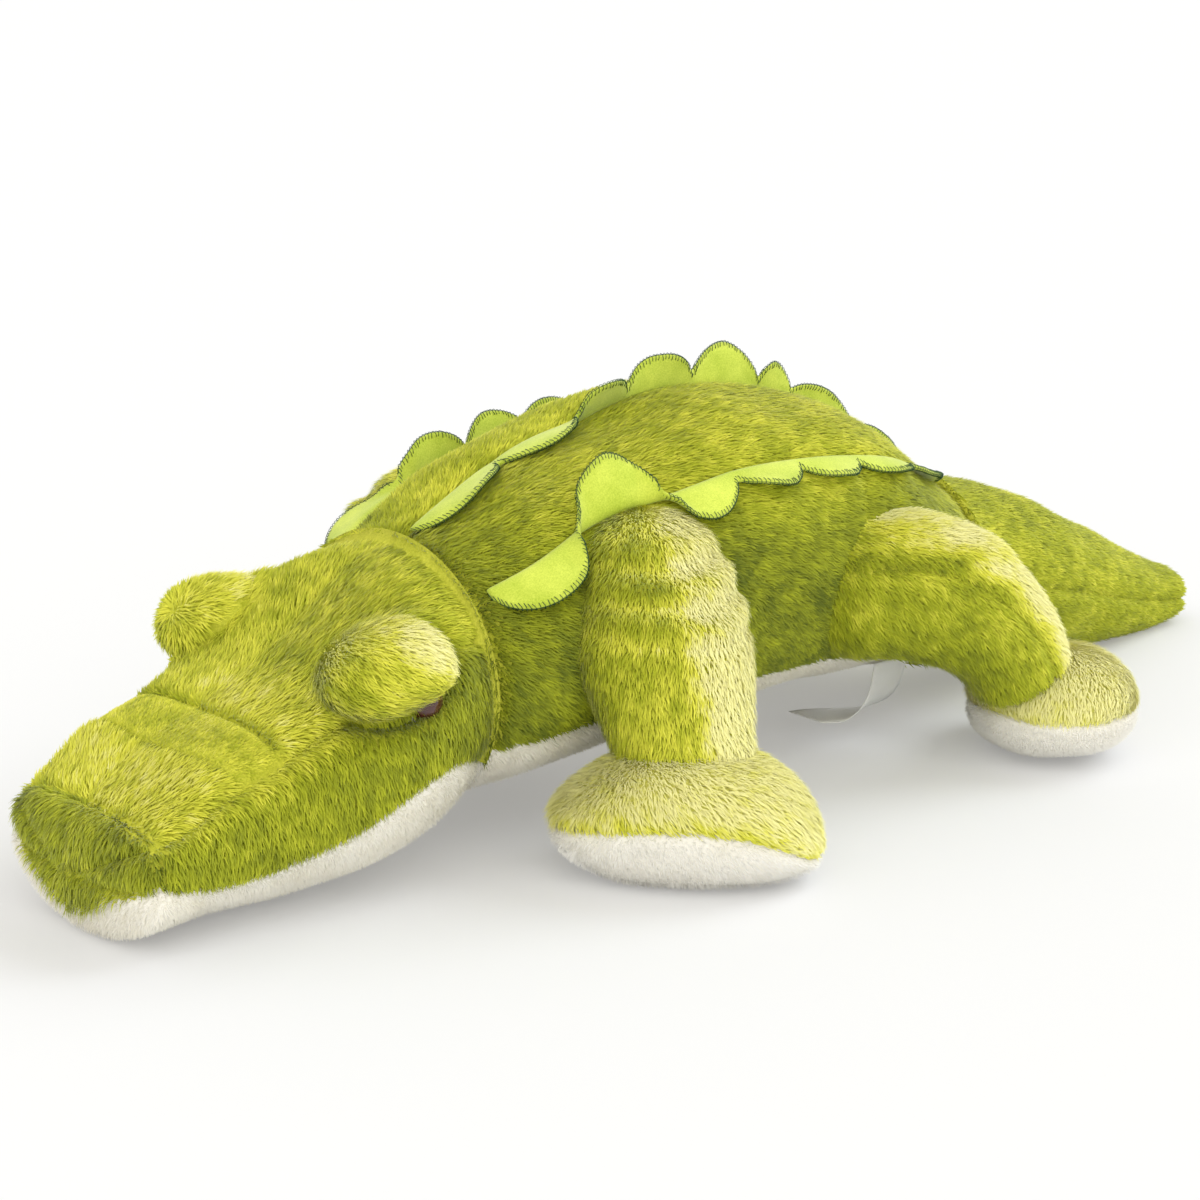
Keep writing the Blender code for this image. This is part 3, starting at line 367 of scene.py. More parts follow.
def piece(name, mesh, *materials):
    made = bpy.data.objects.new(name, mesh)
    bpy.context.scene.collection.objects.link(made)
    for one in materials:
        mesh.materials.append(one)
    return made


# Lets a piece ride on one body, or bend between two from a start to an end
def follow(thing, bend):
    if isinstance(bend, str):
        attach(thing, bend)
    else:
        first, second, start, end = bend
        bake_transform(thing, first, second, start=start, end=end)


# Sinks a grid into its form by so many mm, above the floor
def sink(grid, normals, sunk):
    skin = grid - normals * (sunk * mm)[..., None]
    skin[..., 2] = np.maximum(skin[..., 2], lowest)
    return skin


# A closed cloth skin over stuffing. It returns the way out of each point.
def makeCloth(name, skin, stands, bend, white=None, top=greenCloth):
    normals = outward(skin)
    cloth = piece(name, gridMesh(name, skin, normals, True), top)
    if white is not None:
        cloth.data.materials.append(whiteCloth)
        paintWhite(cloth, skin, np.broadcast_to(white, skin.shape[:2]))
    follow(cloth, bend)
    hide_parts(stands)
    return normals


# Faces whose corners are all white take the second material
def paintWhite(cloth, grid, isWhite):
    white = {tuple(np.round(place, 6)) for place in grid[isWhite].astype(np.float32)}
    for face in cloth.data.polygons:
        corners = [tuple(np.round(np.array(cloth.data.vertices[v].co, np.float32), 6)) for v in face.vertices]
        if all(corner in white for corner in corners):
            face.material_index = 1


# Places a thing on points, turned to two directions and spun a little at random
def planted(tree, points, thing, primary, secondary, spin, seed, scale):
    aim = node(tree, "FunctionNodeAxesToRotation", {"Primary Axis": primary, "Secondary Axis": secondary},
               primary_axis="Z", secondary_axis="Y")
    spin = node(tree, "FunctionNodeRandomValue", {0: spin[0], 1: spin[1], "Seed": seed}, data_type="FLOAT_VECTOR")
    turn = node(tree, "FunctionNodeEulerToRotation", {0: spin.outputs[0]})
    turned = node(tree, "FunctionNodeRotateRotation", {0: aim.outputs[0], 1: turn.outputs[0]},
                  rotation_space="LOCAL")
    shape = node(tree, "GeometryNodeObjectInfo", {0: thing})
    return node(tree, "GeometryNodeInstanceOnPoints", {
        "Points": points, "Instance": shape.outputs["Geometry"],
        "Rotation": turned.outputs[0], "Scale": scale}).outputs[0]


# Plants bent strands on a patch of skin, combed one way with some ruffle
def makePileTree():
    tree, given, made = group("plushPile", [
        ("Patch", "Geometry", None), ("Strand", "Object", None), ("Finish", "Material", None),
        ("Strands per Area", "Float", 2.2e6), ("Length", "Float", 1.0), ("Ruffle", "Float", 0.6),
        ("Tilt", "Float", 0.16), ("Mottle", "Float", 1.35), ("Seed", "Int", 1),
    ], [("Pile", "Geometry")], "GeometryNodeTree")

    def cloud(size, detail=2.0):
        return node(tree, "ShaderNodeTexNoise", {"Scale": 1 / (size * mm), "Detail": detail}).outputs

    density = calc(tree, "MULTIPLY", given["Strands per Area"], named(tree, "growth"))
    roots = node(tree, "GeometryNodeDistributePointsOnFaces",
                 {"Mesh": given["Patch"], "Density": density, "Seed": given["Seed"]}).outputs
    swirl, drift, tuft = (vectors(tree, "ADD", cloud(size)[1], (-0.5, -0.5, -0.5)) for size in (9, 30, 2.6))
    stray = vectors(tree, "ADD", vectors(tree, "ADD", swirl, drift), tuft)
    stray = vectors(tree, "SCALE", stray, given["Ruffle"], 3)
    comb = vectors(tree, "ADD", named(tree, "comb", "FLOAT_VECTOR"), stray)
    back = calc(tree, "MULTIPLY", given["Tilt"], -1.0)
    spin = (combined(tree, back, -0.2, -0.35), combined(tree, given["Tilt"], 0.2, 0.35))
    size = calc(tree, "MULTIPLY", randoms(tree, 0.72, 1.15, 5), given["Length"])
    size = calc(tree, "MULTIPLY", size, named(tree, "pile"))
    grown = planted(tree, roots["Points"], given["Strand"], roots["Normal"], comb, spin, given["Seed"],
                    combined(tree, 1.0, size, size))
    # Mottled tone: partly the pile's own uneven tone and partly painted sheen where the nap lifts
    patchy = calc(tree, "ADD", calc(tree, "MULTIPLY", cloud(3.4, 3.0)[0], 0.6),
                  calc(tree, "MULTIPLY", cloud(17)[0], 0.4))
    patchy = calc(tree, "MULTIPLY", calc(tree, "SUBTRACT", patchy, 0.5), given["Mottle"])
    tone = calc(tree, "ADD", calc(tree, "ADD", named(tree, "shade"), patchy), randoms(tree, -0.07, 0.07, 9))
    toned = node(tree, "GeometryNodeStoreNamedAttribute", {"Geometry": grown, "Name": "tone", "Value": tone},
                 data_type="FLOAT", domain="INSTANCE")
    real = node(tree, "GeometryNodeRealizeInstances", {0: toned.outputs[0]})
    pair = combined(tree, named(tree, "tone"), named(tree, "along"))
    stored = node(tree, "GeometryNodeStoreNamedAttribute",
                  {"Geometry": real.outputs[0], "Name": "OFBake", "Value": pair},
                  data_type="FLOAT2", domain="CORNER")
    dressed = node(tree, "GeometryNodeSetMaterial", {"Geometry": stored.outputs[0], "Material": given["Finish"]})
    tree.links.new(dressed.outputs[0], made["Pile"])
    return tree


# A strand: its root sunk in the cloth, its tip bent over towards +Y
def makeStrand(name, width, points):
    spine = [(0, y * mm, z * mm) for y, z in points]
    verts, along = [], []
    for k, (x, y, z) in enumerate(spine):
        share = k / (len(spine) - 1)
        half = width / 2 * mm * (1 - share ** 2 * 0.9)
        ends = ((-half, y, z), (half, y, z)) if k < len(spine) - 1 else ((0, y, z),)
        verts += ends
        along += [share] * len(ends)
    faces = [(2 * k, 2 * k + 1, 2 * k + 3, 2 * k + 2) for k in range(len(spine) - 2)]
    faces.append((len(verts) - 3, len(verts) - 2, len(verts) - 1))
    mesh = bpy.data.meshes.new(name)
    mesh.from_pydata(verts, [], faces)
    mesh.attributes.new("along", "FLOAT", "POINT").data.foreach_set("value", along)
    mesh.shade_smooth()
    return piece(name, mesh)


pileTree = makePileTree()
longStrand = makeStrand("longStrand", 0.56, ((-0.3, -0.4), (1.2, 1.35), (3.9, 1.9)))
shortStrand = makeStrand("shortStrand", 0.5, ((-0.1, -0.3), (0.8, 1.7)))
pileCount = 0


# Runs a node tree on a mesh and keeps the result as a plain mesh
def grow(name, source, tree, wanted):
    modifier = source.modifiers.new("grow", "NODES")
    modifier.node_group = tree
    for socket in tree.interface.items_tree:
        if socket.in_out == "INPUT" and socket.name in wanted:
            modifier[socket.identifier] = wanted[socket.name]
    seen = source.evaluated_get(bpy.context.evaluated_depsgraph_get())
    made = piece(name, bpy.data.meshes.new_from_object(seen))
    attributes = made.data.attributes
    for key in ("growth", "comb", "shade", "pile", "tone", "along", "inward", "across"):
        if key in attributes:
            attributes.remove(attributes[key])
    bpy.data.objects.remove(source)
    return made


# Pile on part of a skin, which shows one CAD node. It grows green and long or white and short.
def growPile(name, skin, normals, values, rows, columns, stands, bend, white=False, dense=2.2e6):
    global pileCount
    pileCount += 1
    take = np.ix_(range(*rows), [c % skin.shape[1] for c in range(*columns)])
    values = {key: np.broadcast_to(array, skin.shape if key == "comb" else skin.shape[:2])[take]
              for key, array in values.items()}
    patch = piece(name + "Patch", gridMesh(name + "Patch", skin[take], normals[take], False, values))
    pile = grow(name, patch, pileTree, {
        "Strand": shortStrand if white else longStrand, "Finish": whitePile if white else greenPile,
        "Seed": pileCount, "Strands per Area": dense})
    follow(pile, bend)
    if stands:
        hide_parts(stands)
    print("  pile", name, len(pile.data.polygons))


# Moves the points of a skin that lie inside the body out to its surface
def clearOfBody(points, room):
    half, top, under, boxy = section(bodyLook, (points[..., 0] - bodyLook["start"]) / mm)
    half, top, under = half * mm + room, top * mm + room, under * mm - room
    middle, tall = (top + under) / 2, (top - under) / 2
    reach = (np.abs(points[..., 1] / half) ** boxy + np.abs((points[..., 2] - middle) / tall) ** boxy) ** (1 / boxy)
    push = np.maximum(1, 1 / np.maximum(reach, 0.2))
    moved = points.copy()
    moved[..., 1] *= push
    moved[..., 2] = middle + (points[..., 2] - middle) * push
    return moved, push > 1.0001


bodyLook = {
    "start": neckX, "length": 234,
    # mm from the neck seam, half width, top, underside, how boxy
    "table": ((0, 49, 97, 15, 2.0), (18.7, 55.2, 106.1, 17, 2.1), (37.4, 56.4, 115.3, 19.5, 2.3),
              (72.5, 60.1, 124.5, 23, 2.3), (100.6, 62, 131, 24.5, 2.3), (147.4, 62, 128.4, 25, 2.3),
              (177.8, 59.5, 119.2, 23.5, 2.3), (203.6, 52.1, 106.1, 20, 2.1), (234, 42, 88, 14, 2.0)),
    "strip": ((0, 0.30, 0.56, 0.80, 0.96, 1), (46, 50, 53, 46, 33, 31)),
    "belly": ((0, 0.15, 0.5, 1), (118, 122, 134, 138)),
    "columns": (26, 44, 24), "rows": 104, "capRows": 8,
    # each end's ball: its radius and the half width of its seam
    "neckBall": (56, 49), "tailBall": (52, 42),
    "sunk": 1.7, "whiteSunk": 0.9, "seamDepth": 1.7, "seamWidth": 2.4, "capSunk": 1.0, "lump": 1.3,
    # a tuck along the flank and a ridge behind the neck: place, depth, width
    "flank": (146, 1.3, 2.6), "collar": (9, 0.9, 2.2),
}


def ballRows(radius, half, count, sign, seamAt):
    setback = math.sqrt(max(radius ** 2 - half ** 2, 0))
    angles = [math.acos(setback / radius) * k / count for k in range(count)]
    return [(seamAt + sign * (math.cos(a) * radius - setback), seamAt, math.sin(a) * radius / half) for a in angles]


def makeBody():
    look = bodyLook
    length, caps = look["length"], look["capRows"]
    rows = ballRows(*look["neckBall"], caps, -1, 0)
    rows += [(x, x, 1.0) for x in np.linspace(0, length, look["rows"])]
    rows += ballRows(*look["tailBall"], caps, 1, length)[::-1]
    grid = loft(look, rows, (look["strip"], look["belly"]), look["columns"])
    back, side, belly = look["columns"]
    under, across = back + side, grid.shape[1]
    near, y, z = fromTop(grid), grid[..., 1], grid[..., 2]
    x = (grid[..., 0] - look["start"]) / mm
    ends = np.minimum(np.abs(x), np.abs(x - length) + 2) * mm
    seam = np.minimum(seamGap(grid, (0, back, across - back, under, across - under)), ends)
    place, depth, width = look["flank"]
    flank = np.where((near > back) & (near < under), np.abs(x - place - 6 * (z - 0.06) / 0.05), 99) * mm
    sunk = np.where(near >= under, look["whiteSunk"], look["sunk"])
    sunk = sunk + look["seamDepth"] * ridge(seam, look["seamWidth"] * mm) + depth * ridge(flank, width * mm)
    place, depth, width = look["collar"]
    sunk = sunk + depth * ridge(x * mm - place * mm, width * mm) * (x > 2)
    sunk = sunk - look["lump"] * lumps(grid, 0.03, 1) * np.minimum(1, seam / 0.012)
    skin = sink(grid, outward(grid), np.where((x < 0) | (x > length), look["capSunk"], sunk))
    normals = makeCloth("bodyCloth", skin, "body_stuffing", "body", near >= under)
    growth = (1 - 0.8 * ridge(seam, 0.9 * mm)) * (1 - 0.6 * ridge(flank, 1.0 * mm))
    values = {
        "comb": joined(0.75, np.sign(y) * 0.35, -0.9 * np.clip(1 - (z - 0.03) / 0.09, 0, 1)),
        # painted shade: the pile darkens from 108 mm down to 85 mm on the flanks and stays dark below, less so towards
        # the rump
        "shade": 0.47 - 0.30 * ramp(0.108, 0.085, z) * (1 - 0.7 * ramp(180, 215, x)),
        "growth": growth * (x >= 0) * (x <= length) * (1 - 0.85 * underLegs(grid)),
        "pile": 1 - 0.35 * ridge(seam, 2 * mm),
    }
    for name, start, stop, stands, white, dense in (
        ("backPileLeft", 0, back, "back_panel_left", False, 2.2e6),
        ("sidePileLeft", back, under, "side_panel_left", False, 2.2e6),
        ("bellyPile", under, across - under, "belly_panel", True, 2.0e6),
        ("sidePileRight", across - under, across - back, "side_panel_right", False, 2.2e6),
        ("backPileRight", across - back, across, "back_panel_right", False, 2.2e6),
    ):
        growPile(name, skin, normals, values, (caps, len(rows) - caps), (start, stop + 1), stands, "body",
                 white, dense)
    print("body dressed")


# Where a leg covers the flank, no pile shows
def underLegs(grid):
    cover = np.zeros(grid.shape[:2])
    for look in (frontLegLook, hindLegLook):
        radius = look["radii"][0]
        for mark in (1, -1):
            away = np.linalg.norm(grid - np.array(look["root"]) * mm * (1, mark, 1), axis=2)
            cover = np.maximum(cover, ramp(radius * 0.9 * mm, radius * 0.7 * mm, away))
    return cover


headLook = {
    "start": -0.267, "length": 121,
    "table": ((0, 39.5, 38, -0.5, 3.0), (12.1, 41.1, 41.8, -0.5, 3.2), (31.5, 42.8, 54.4, -0.5, 3.4),
              (48.4, 45, 60.2, -0.5, 3.2), (66.6, 49.2, 67.9, -0.5, 2.9), (83.5, 54.5, 79.5, 1, 2.6),
              (101.6, 55, 92.2, 5, 2.3), (121, 49, 97, 15, 2.0)),
    "lowBoxy": 1.9, "shield": (8, 0.4),
    "cheek": ((0, 0.28, 0.5, 1), (49, 60, 50, 62)),
    "jaw": ((0, 0.1, 0.2, 0.55, 0.7, 0.85, 1), (88, 90, 106, 106, 98, 102, 120)),
    "columns": (30, 36, 30), "noseRows": 14, "nose": 8, "neckBall": (57, 49), "dishRows": 8,
    "rowMarks": (8, 24, 34, 45, 52, 121), "rowSteps": (1.3, 0.5, 1.3, 0.5, 1.4),
    "tucks": ((28, 6), (47.2, 2)), "tuckDepth": 1.7, "tuckWidth": 0.8, "foldDepth": 2.4, "slitDepth": 1.5,
    "sunk": 1.7, "whiteSunk": 0.9, "seamDepth": 1.6, "seamWidth": 2.2, "lump": 1.1,
}
neckBend = ("head", "body", (-0.180, 0, 0.06), (-0.146, 0, 0.06))


def onTopHalf(grid):
    return ramp(0.035, 0.050, grid[..., 2])


def makeHead():
    look = headLook
    nose, length = look["nose"], look["length"]
    angles = np.linspace(0, math.pi / 2, look["noseRows"], endpoint=False)
    rows = [(nose * (1 - math.cos(a)), nose * (1 - math.cos(a)), math.sin(a)) for a in angles]
    for a, b, step in zip(look["rowMarks"], look["rowMarks"][1:], look["rowSteps"]):
        rows += [(x, x, 1.0) for x in np.linspace(a, b, round((b - a) / step), endpoint=False)]
    rows += [(length, length, 1.0), *ballRows(*look["neckBall"], look["dishRows"], -1, length)[::-1]]
    grid = loft(look, rows, (look["cheek"], look["jaw"]), look["columns"])
    first, last = look["noseRows"], len(rows) - look["dishRows"] - 1
    top, cheek, chin = look["columns"]
    under, across = top + cheek, grid.shape[1]
    row, near, side = np.arange(len(rows))[:, None], fromTop(grid), np.sign(grid[..., 1])
    x = (grid[..., 0] - look["start"]) / mm
    neck = np.abs(x - length) * mm
    noseSeam = np.where(near <= under, np.abs(x - nose), 99) * mm
    seams = seamGap(grid, (top, across - top, under, across - under))
    seam = np.minimum.reduce((seams, noseSeam, neck))
    bend = 1 - np.cos(near / top * math.pi / 2)
    fade = 1 - 0.9 * ramp(0.75, 1.0, near / top)
    tucks = [np.where(near <= top, np.abs(x - place - rise * bend), 99) for place, rise in look["tucks"]]
    tuck = np.minimum.reduce(tucks) * mm
    shield = look["shield"][0] * mm + look["shield"][1] * np.abs(grid[..., 1])
    isWhite = (near >= under) & (row >= first) | (row < first) & (grid[..., 2] < shield)
    sunk = np.where(isWhite, look["whiteSunk"], look["sunk"])
    sunk = sunk + look["seamDepth"] * ridge(seam, look["seamWidth"] * mm)
    sunk = sunk + look["tuckDepth"] * ridge(tuck, look["tuckWidth"] * mm) * fade
    sunk = sunk - look["lump"] * lumps(grid, 0.026, 2) * np.minimum(1, np.minimum(seam, tuck) / 0.010)
    inner = ramp(0, 0.007, -browCentre()[1] - 0.004 - np.abs(grid[..., 1]))
    fold = ridge(browReach(grid) - 1.06, 0.13) * onTopHalf(grid) * (1 - inner)
    sunk = sunk + look["foldDepth"] * fold + look["slitDepth"] * eyeSlit(grid)
    sunk = sunk - browLook["fairing"] * ridge(browReach(grid) - 1.05, 0.22) * inner
    skin = sink(grid, outward(grid), sunk * (row <= last))
    normals = makeCloth("headCloth", skin, "head_stuffing", neckBend, isWhite)

    low = ramp(0.8, 1.4, near / top)
    comb = joined(0.9 - 0.9 * low, side * (0.25 + 0.1 * low), -0.15 - 0.95 * low)
    comb = np.where((x < nose + 0.5)[..., None], joined(0, side * 0.15, -1), comb)
    band = (x > 28 + 6 * bend) & (x < 47.2 + 2 * bend) & (near <= top)
    # Painted light and shade: the pile is lighter on top towards the snout, darker down the cheeks and low by the neck,
    # dark on the nose's front face, and darker in the brow fold, along the nose seam, in the tucks and by the neck
    # seam. The band between the tucks is a little darker too.
    tone = 0.50 - 0.20 * low + 0.14 * ramp(80, 40, x) * (1 - low) - 0.08 * ramp(100, 118, x) * low
    tone = np.where(x < nose, 0.32, tone) - 0.16 * fold - 0.3 * ridge(noseSeam, 1.0 * mm)
    tone = tone - 0.4 * fade * ridge(tuck, 1.1 * mm) - 0.06 * band - 0.08 * ridge(neck, 5 * mm)
    growth = (1 - 0.8 * ridge(seam, 0.8 * mm)) * (1 - 0.9 * fade * ridge(tuck, 0.7 * mm)) * ~eyeSlit(grid)
    pile = 1 - 0.35 * ridge(seam, 2 * mm) - 0.6 * band - 0.3 * fade * ridge(tuck, 3 * mm)
    for name, start, stop, left, right, stands in (
        ("headTopPile", first, last, -top, top, "head_top_panel"),
        ("cheekPileLeft", first, last, top, under, "cheek_panel_left"),
        ("cheekPileRight", first, last, across - under, across - top, "cheek_panel_right"),
        ("nosePile", 0, first, 0, across, "nose_panel"),
        ("chinPile", 1, last, under - 12, across - under + 12, "chin_panel"),
    ):
        white = name == "chinPile"
        values = {"comb": comb, "shade": tone, "growth": growth * (isWhite == white), "pile": pile}
        growPile(name, skin, normals, values, (start, stop + 1), (left, right + 1), stands, neckBend, white)
    print("head dressed")


tailLook = {
    "start": tailX, "length": 179,
    "table": ((0, 42, 88, 14, 2.0), (17.9, 39.1, 82.5, 9.8, 2.1), (57.3, 34.4, 72, 5.9, 2.1),
              (87.7, 29.4, 58.5, 3.1, 2.1), (119.9, 23.5, 44, -0.5, 2.1), (150.4, 17.6, 30, -0.5, 2.1),
              (179, 13, 20, -0.5, 2.0)),
    "seam": ((0, 0.5, 1), (92, 92, 92)),
    "columns": (34, 34), "rows": 84, "tip": 13, "tipRows": 10, "rootBall": (53, 42), "dishRows": 8,
    "sunk": 1.7, "seamDepth": 1.5, "seamWidth": 2.2, "lump": 1.2,
}
tailBend = ("body", "tail", (0.088, 0, 0.05), (0.125, 0, 0.05))


def makeTail():
    look = tailLook
    first, top = look["dishRows"], look["columns"][0]
    straight = look["length"] - look["tip"]
    rows = ballRows(*look["rootBall"], first, 1, 0)
    rows += [(x, x, 1.0) for x in np.linspace(0, straight, look["rows"])]
    for k in range(1, look["tipRows"] + 1):
        angle = math.pi / 2 * k / look["tipRows"]
        place = straight + look["tip"] * math.sin(angle)
        rows.append((place, place, math.cos(angle) if k < look["tipRows"] else 0.0))
    grid = loft(look, rows, (look["seam"],), look["columns"])
    across, z = grid.shape[1], grid[..., 2]
    x = (grid[..., 0] - look["start"]) / mm
    seam = np.minimum(seamGap(grid, (top, across - top)), (np.abs(x) + 2) * mm)
    sunk = look["sunk"] + look["seamDepth"] * ridge(seam, look["seamWidth"] * mm)
    sunk = sunk - look["lump"] * lumps(grid, 0.026, 3) * np.minimum(1, seam / 0.010)
    skin = sink(grid, outward(grid), sunk * (np.arange(len(rows)) >= first)[:, None])
    normals = makeCloth("tailCloth", skin, "tail_stuffing", tailBend)
    values = {
        "comb": joined(1.0, np.sign(grid[..., 1]) * 0.2, -0.35),
        # painted shade: the pile is a little darker low on the tail
        "shade": 0.42 - 0.04 * ramp(0.7, 0.3, z / np.maximum(z.max(1, keepdims=True), 1e-6)),
        "growth": (1 - 0.7 * ridge(seam, 0.8 * mm)) * (z > 0.6 * mm),
        "pile": 1 - 0.35 * ridge(seam, 2 * mm),
    }
    for name, start, stop, stands in (("tailTopPile", -top, top, "tail_top_panel"),
                                      ("tailUnderPile", top, across - top, "tail_under_panel")):
        growPile(name, skin, normals, values, (first, len(rows)), (start, stop + 1), stands, tailBend)
    print("tail dressed")


frontLegLook = {
    "end": "front", "root": (-89, -50.5, 80), "knee": (-94, -65, 62), "ankle": (-98, -78, 38),
    "radii": (26.5, 27.5, 21.5), "foot": (-103, -83.5), "length": 84, "width": 57, "yaw": -51, "lift": 0,
    "height": 42, "heelDrop": 0.30, "seam": (23, 17.5, 9.5), "apex": -4,
    "sunk": 1.5, "lump": 1.3, "wrinkle": 1.7, "tone": 0.54, "lit": (0.70, -0.62, 0.30), "footTone": 1.0,
    "seamDepth": 1.7, "seamShade": 0.30, "seamSide": (0.75, -0.66, 0), "comb": (-0.1, -0.25, -1),
}
hindLegLook = {
    "end": "hind", "root": (11, -50.6, 66), "knee": (36.3, -70.4, 60), "ankle": (54, -82.6, 38),
    "radii": (26.5, 24.5, 18.5), "foot": (77, -82.6), "length": 74, "width": 58, "yaw": -130, "lift": -7,
    "height": 38, "heelDrop": 0.05, "seam": (17, 17, 15), "apex": 0,
    "sunk": 1.5, "lump": 1.2, "wrinkle": 0.6, "tone": 0.42, "lit": (0.70, -0.20, 0.60), "footTone": 1.14,
    "seamDepth": 0.8, "seamShade": 0.05, "seamSide": (0.2, -1.0, 0), "comb": (0.6, -0.3, -0.8),
}
legLook = {"columns": 88, "rootRows": 16, "rows": 44, "endRows": 10, "kneeRow": 34, "under": 1.5}
footLook = {
    "boxy": 2.3, "bend": 0.72, "columns": 96, "topRows": 26, "soleRows": 18,
    "sunk": 1.4, "whiteSunk": 0.8, "seamDepth": 1.2, "seamWidth": 2.0, "lump": 0.9,
}


# The height of the seam between a foot's top and its sole, by the angle from its toe
def footSeam(look, angles):
    sides, heel, toe = look["seam"]
    ends = (heel + toe) / 2 + (toe - heel) / 2 * np.cos(angles)
    return sides * np.sin(angles) ** 2 + ends * np.cos(angles) ** 2


# The height of a foot over each angle from its toe, lower towards its heel
def footHeight(look, angles, tilts):
    return look["height"] * (1 - look["heelDrop"] * ramp(0, 1, -np.cos(angles)) * np.sin(tilts))


def footGrid(look):
    angles = np.arange(footLook["columns"]) * 2 * math.pi / footLook["columns"]
    square = 2 / footLook["boxy"]
    along = np.sign(np.cos(angles)) * np.abs(np.cos(angles)) ** square * look["length"] / 2
    across = np.sign(np.sin(angles)) * np.abs(np.sin(angles)) ** square * look["width"] / 2
    top, sole = footLook["topRows"], footLook["soleRows"]
    tilts = np.concatenate((np.linspace(0, 1, top + 1), 1 + np.arange(1, sole + 1) / sole)) * math.pi / 2
    seam = footSeam(look, angles)
    lift = np.cos(tilts)[:, None]
    tall = seam + np.where(lift > 0, footHeight(look, angles, tilts[:, None]) - seam, seam) * lift
    wide = np.abs(np.sin(tilts)) ** footLook["bend"]
    wide[0] = wide[-1] = 0
    along = along * wide[:, None] + look["apex"] * np.clip(lift, 0, 1) ** 1.5
    grid = np.stack((along, across * wide[:, None], tall), -1) * mm
    pose = Matrix.Rotation(math.radians(look["yaw"]), 3, "Z") @ Matrix.Rotation(math.radians(look["lift"]), 3, "Y")
    grid = grid @ np.array(pose).T
    grid[..., :2] += np.array(look["foot"]) * mm
    grid[..., 2] -= grid[..., 2].min() + 0.5 * mm
    return grid


# The height of a foot's top under any point, and how far out from its middle that point is
def footTop(look, points):
    shift = points[..., :2] - np.array(look["foot"]) * mm
    turn = math.radians(-look["yaw"])
    along = (shift[..., 0] * math.cos(turn) - shift[..., 1] * math.sin(turn)) / (look["length"] / 2 * mm)
    across = (shift[..., 0] * math.sin(turn) + shift[..., 1] * math.cos(turn)) / (look["width"] / 2 * mm)
    out = (np.abs(along) ** footLook["boxy"] + np.abs(across) ** footLook["boxy"]) ** (1 / footLook["boxy"])
    tilt = np.arcsin(np.clip(out, 0, 1) ** (1 / footLook["bend"]))
    angles = np.arctan2(across, along)
    seam = footSeam(look, angles)
    tall = (seam + (footHeight(look, angles, tilt) - seam) * np.cos(tilt) - 0.5) * mm
    tall = tall + along * look["length"] / 2 * mm * math.sin(math.radians(-look["lift"]))
    return np.where(out < 1, tall, 0), out


def legGrid(look):
    root, knee, ankle = (np.array(look[key], float) for key in ("root", "knee", "ankle"))
    control = 2 * knee - (root + ankle) / 2
    radii = look["radii"]
    angles = np.arange(legLook["columns"]) * 2 * math.pi / legLook["columns"]
    rings = []

    def ring(centre, way, radius):
        side = unit(np.cross(way, (0, 0, 1)))
        up = np.cross(side, way)
        rings.append(centre + (np.outer(np.cos(angles), side) + np.outer(np.sin(angles), up)) * radius)

    way = unit(control - root)
    for k in range(legLook["rootRows"]):
        angle = math.pi / 2 * k / legLook["rootRows"]
        ring(root - way * radii[0] * math.cos(angle), way, radii[0] * math.sin(angle))
    for t in np.linspace(0, 1, legLook["rows"]):
        centre = root * (1 - t) ** 2 + control * 2 * t * (1 - t) + ankle * t ** 2
        way = unit((control - root) * (1 - t) + (ankle - control) * t)
        ring(centre, way, float(curve((0, 0.5, 1), radii, t)))
    last = legLook["endRows"]
    for k in range(1, last + 1):
        angle = math.pi / 2 * k / last
        ring(ankle + way * radii[2] * math.sin(angle), way, radii[2] * (math.cos(angle) if k < last else 0))
    return np.array(rings) * mm


# A leg and its foot. Both are shaped for the left side and flipped over for the right.
def makeLimb(look, side):
    end, mark = look["end"], 1 if side == "left" else -1
    title = end.capitalize() + side.capitalize()
    flip = np.array((1, mark, 1))
    grid = legGrid(look)
    normals = outward(grid)
    z = grid[..., 2]
    folds = np.sin((z / mm) * 0.62 + 2.0 * lumps(grid, 0.03, 5)) * ramp(0.062, 0.080, z) * ramp(0.110, 0.100, z)
    inner = ramp(-0.045, -0.075, grid[..., 1])
    ring = grid[legLook["kneeRow"]]
    seam = seamGap(grid, (int(np.argmax((ring - ring.mean(0)) @ unit(np.array(look["seamSide"])))),))
    sunk = look["sunk"] - look["lump"] * lumps(grid, 0.022, 4 + mark) + look["wrinkle"] * folds * 0.5 * inner
    skin = sink(grid, normals, sunk + look["seamDepth"] * ridge(seam, 1.8 * mm))
    skin, inside = clearOfBody(skin, -2.4 * mm)
    foot, out = footTop(look, skin)
    foot = foot - legLook["under"] * mm
    low = (skin[..., 2] < foot) & (out < 1)
    skin[..., 2] = np.where(low, foot, skin[..., 2])
    skin = skin * flip
    x, y, z = np.array(look["root"]) * mm * flip
    bend = ("body", f"{end}_leg_{side}", (x, y, z + 0.020), (x, y - 0.022 * mark, z - 0.018))
    skinNormals = makeCloth(f"leg{title}Cloth", skin, f"{end}_leg_{side}_stuffing", bend)
    # Painted highlight where the leg faces the lamp and painted shade on its far side, lighter on wrinkle crests and
    # darker in their hollows, and painted shade along the seam
    lit = normals @ unit(np.array(look["lit"]))
    tone = look["tone"] + 0.60 * ramp(0.14, 0.66, lit) - 0.10 * ramp(0.0, -0.8, lit) + 0.16 * folds * inner
    values = {
        "comb": look["comb"] * flip, "shade": tone - look["seamShade"] * ridge(seam, 0.9 * mm),
        "growth": (1 - 0.6 * ridge(seam, 0.8 * mm)) * ~inside * ~low, "pile": 1 - 0.35 * ridge(seam, 2 * mm),
    }
    growPile(f"leg{title}Pile", skin, skinNormals, values, (2, len(grid) - 1), (0, grid.shape[1] + 1),
             f"{end}_leg_{side}", bend)
    makeFoot(look, side, title, mark, flip)


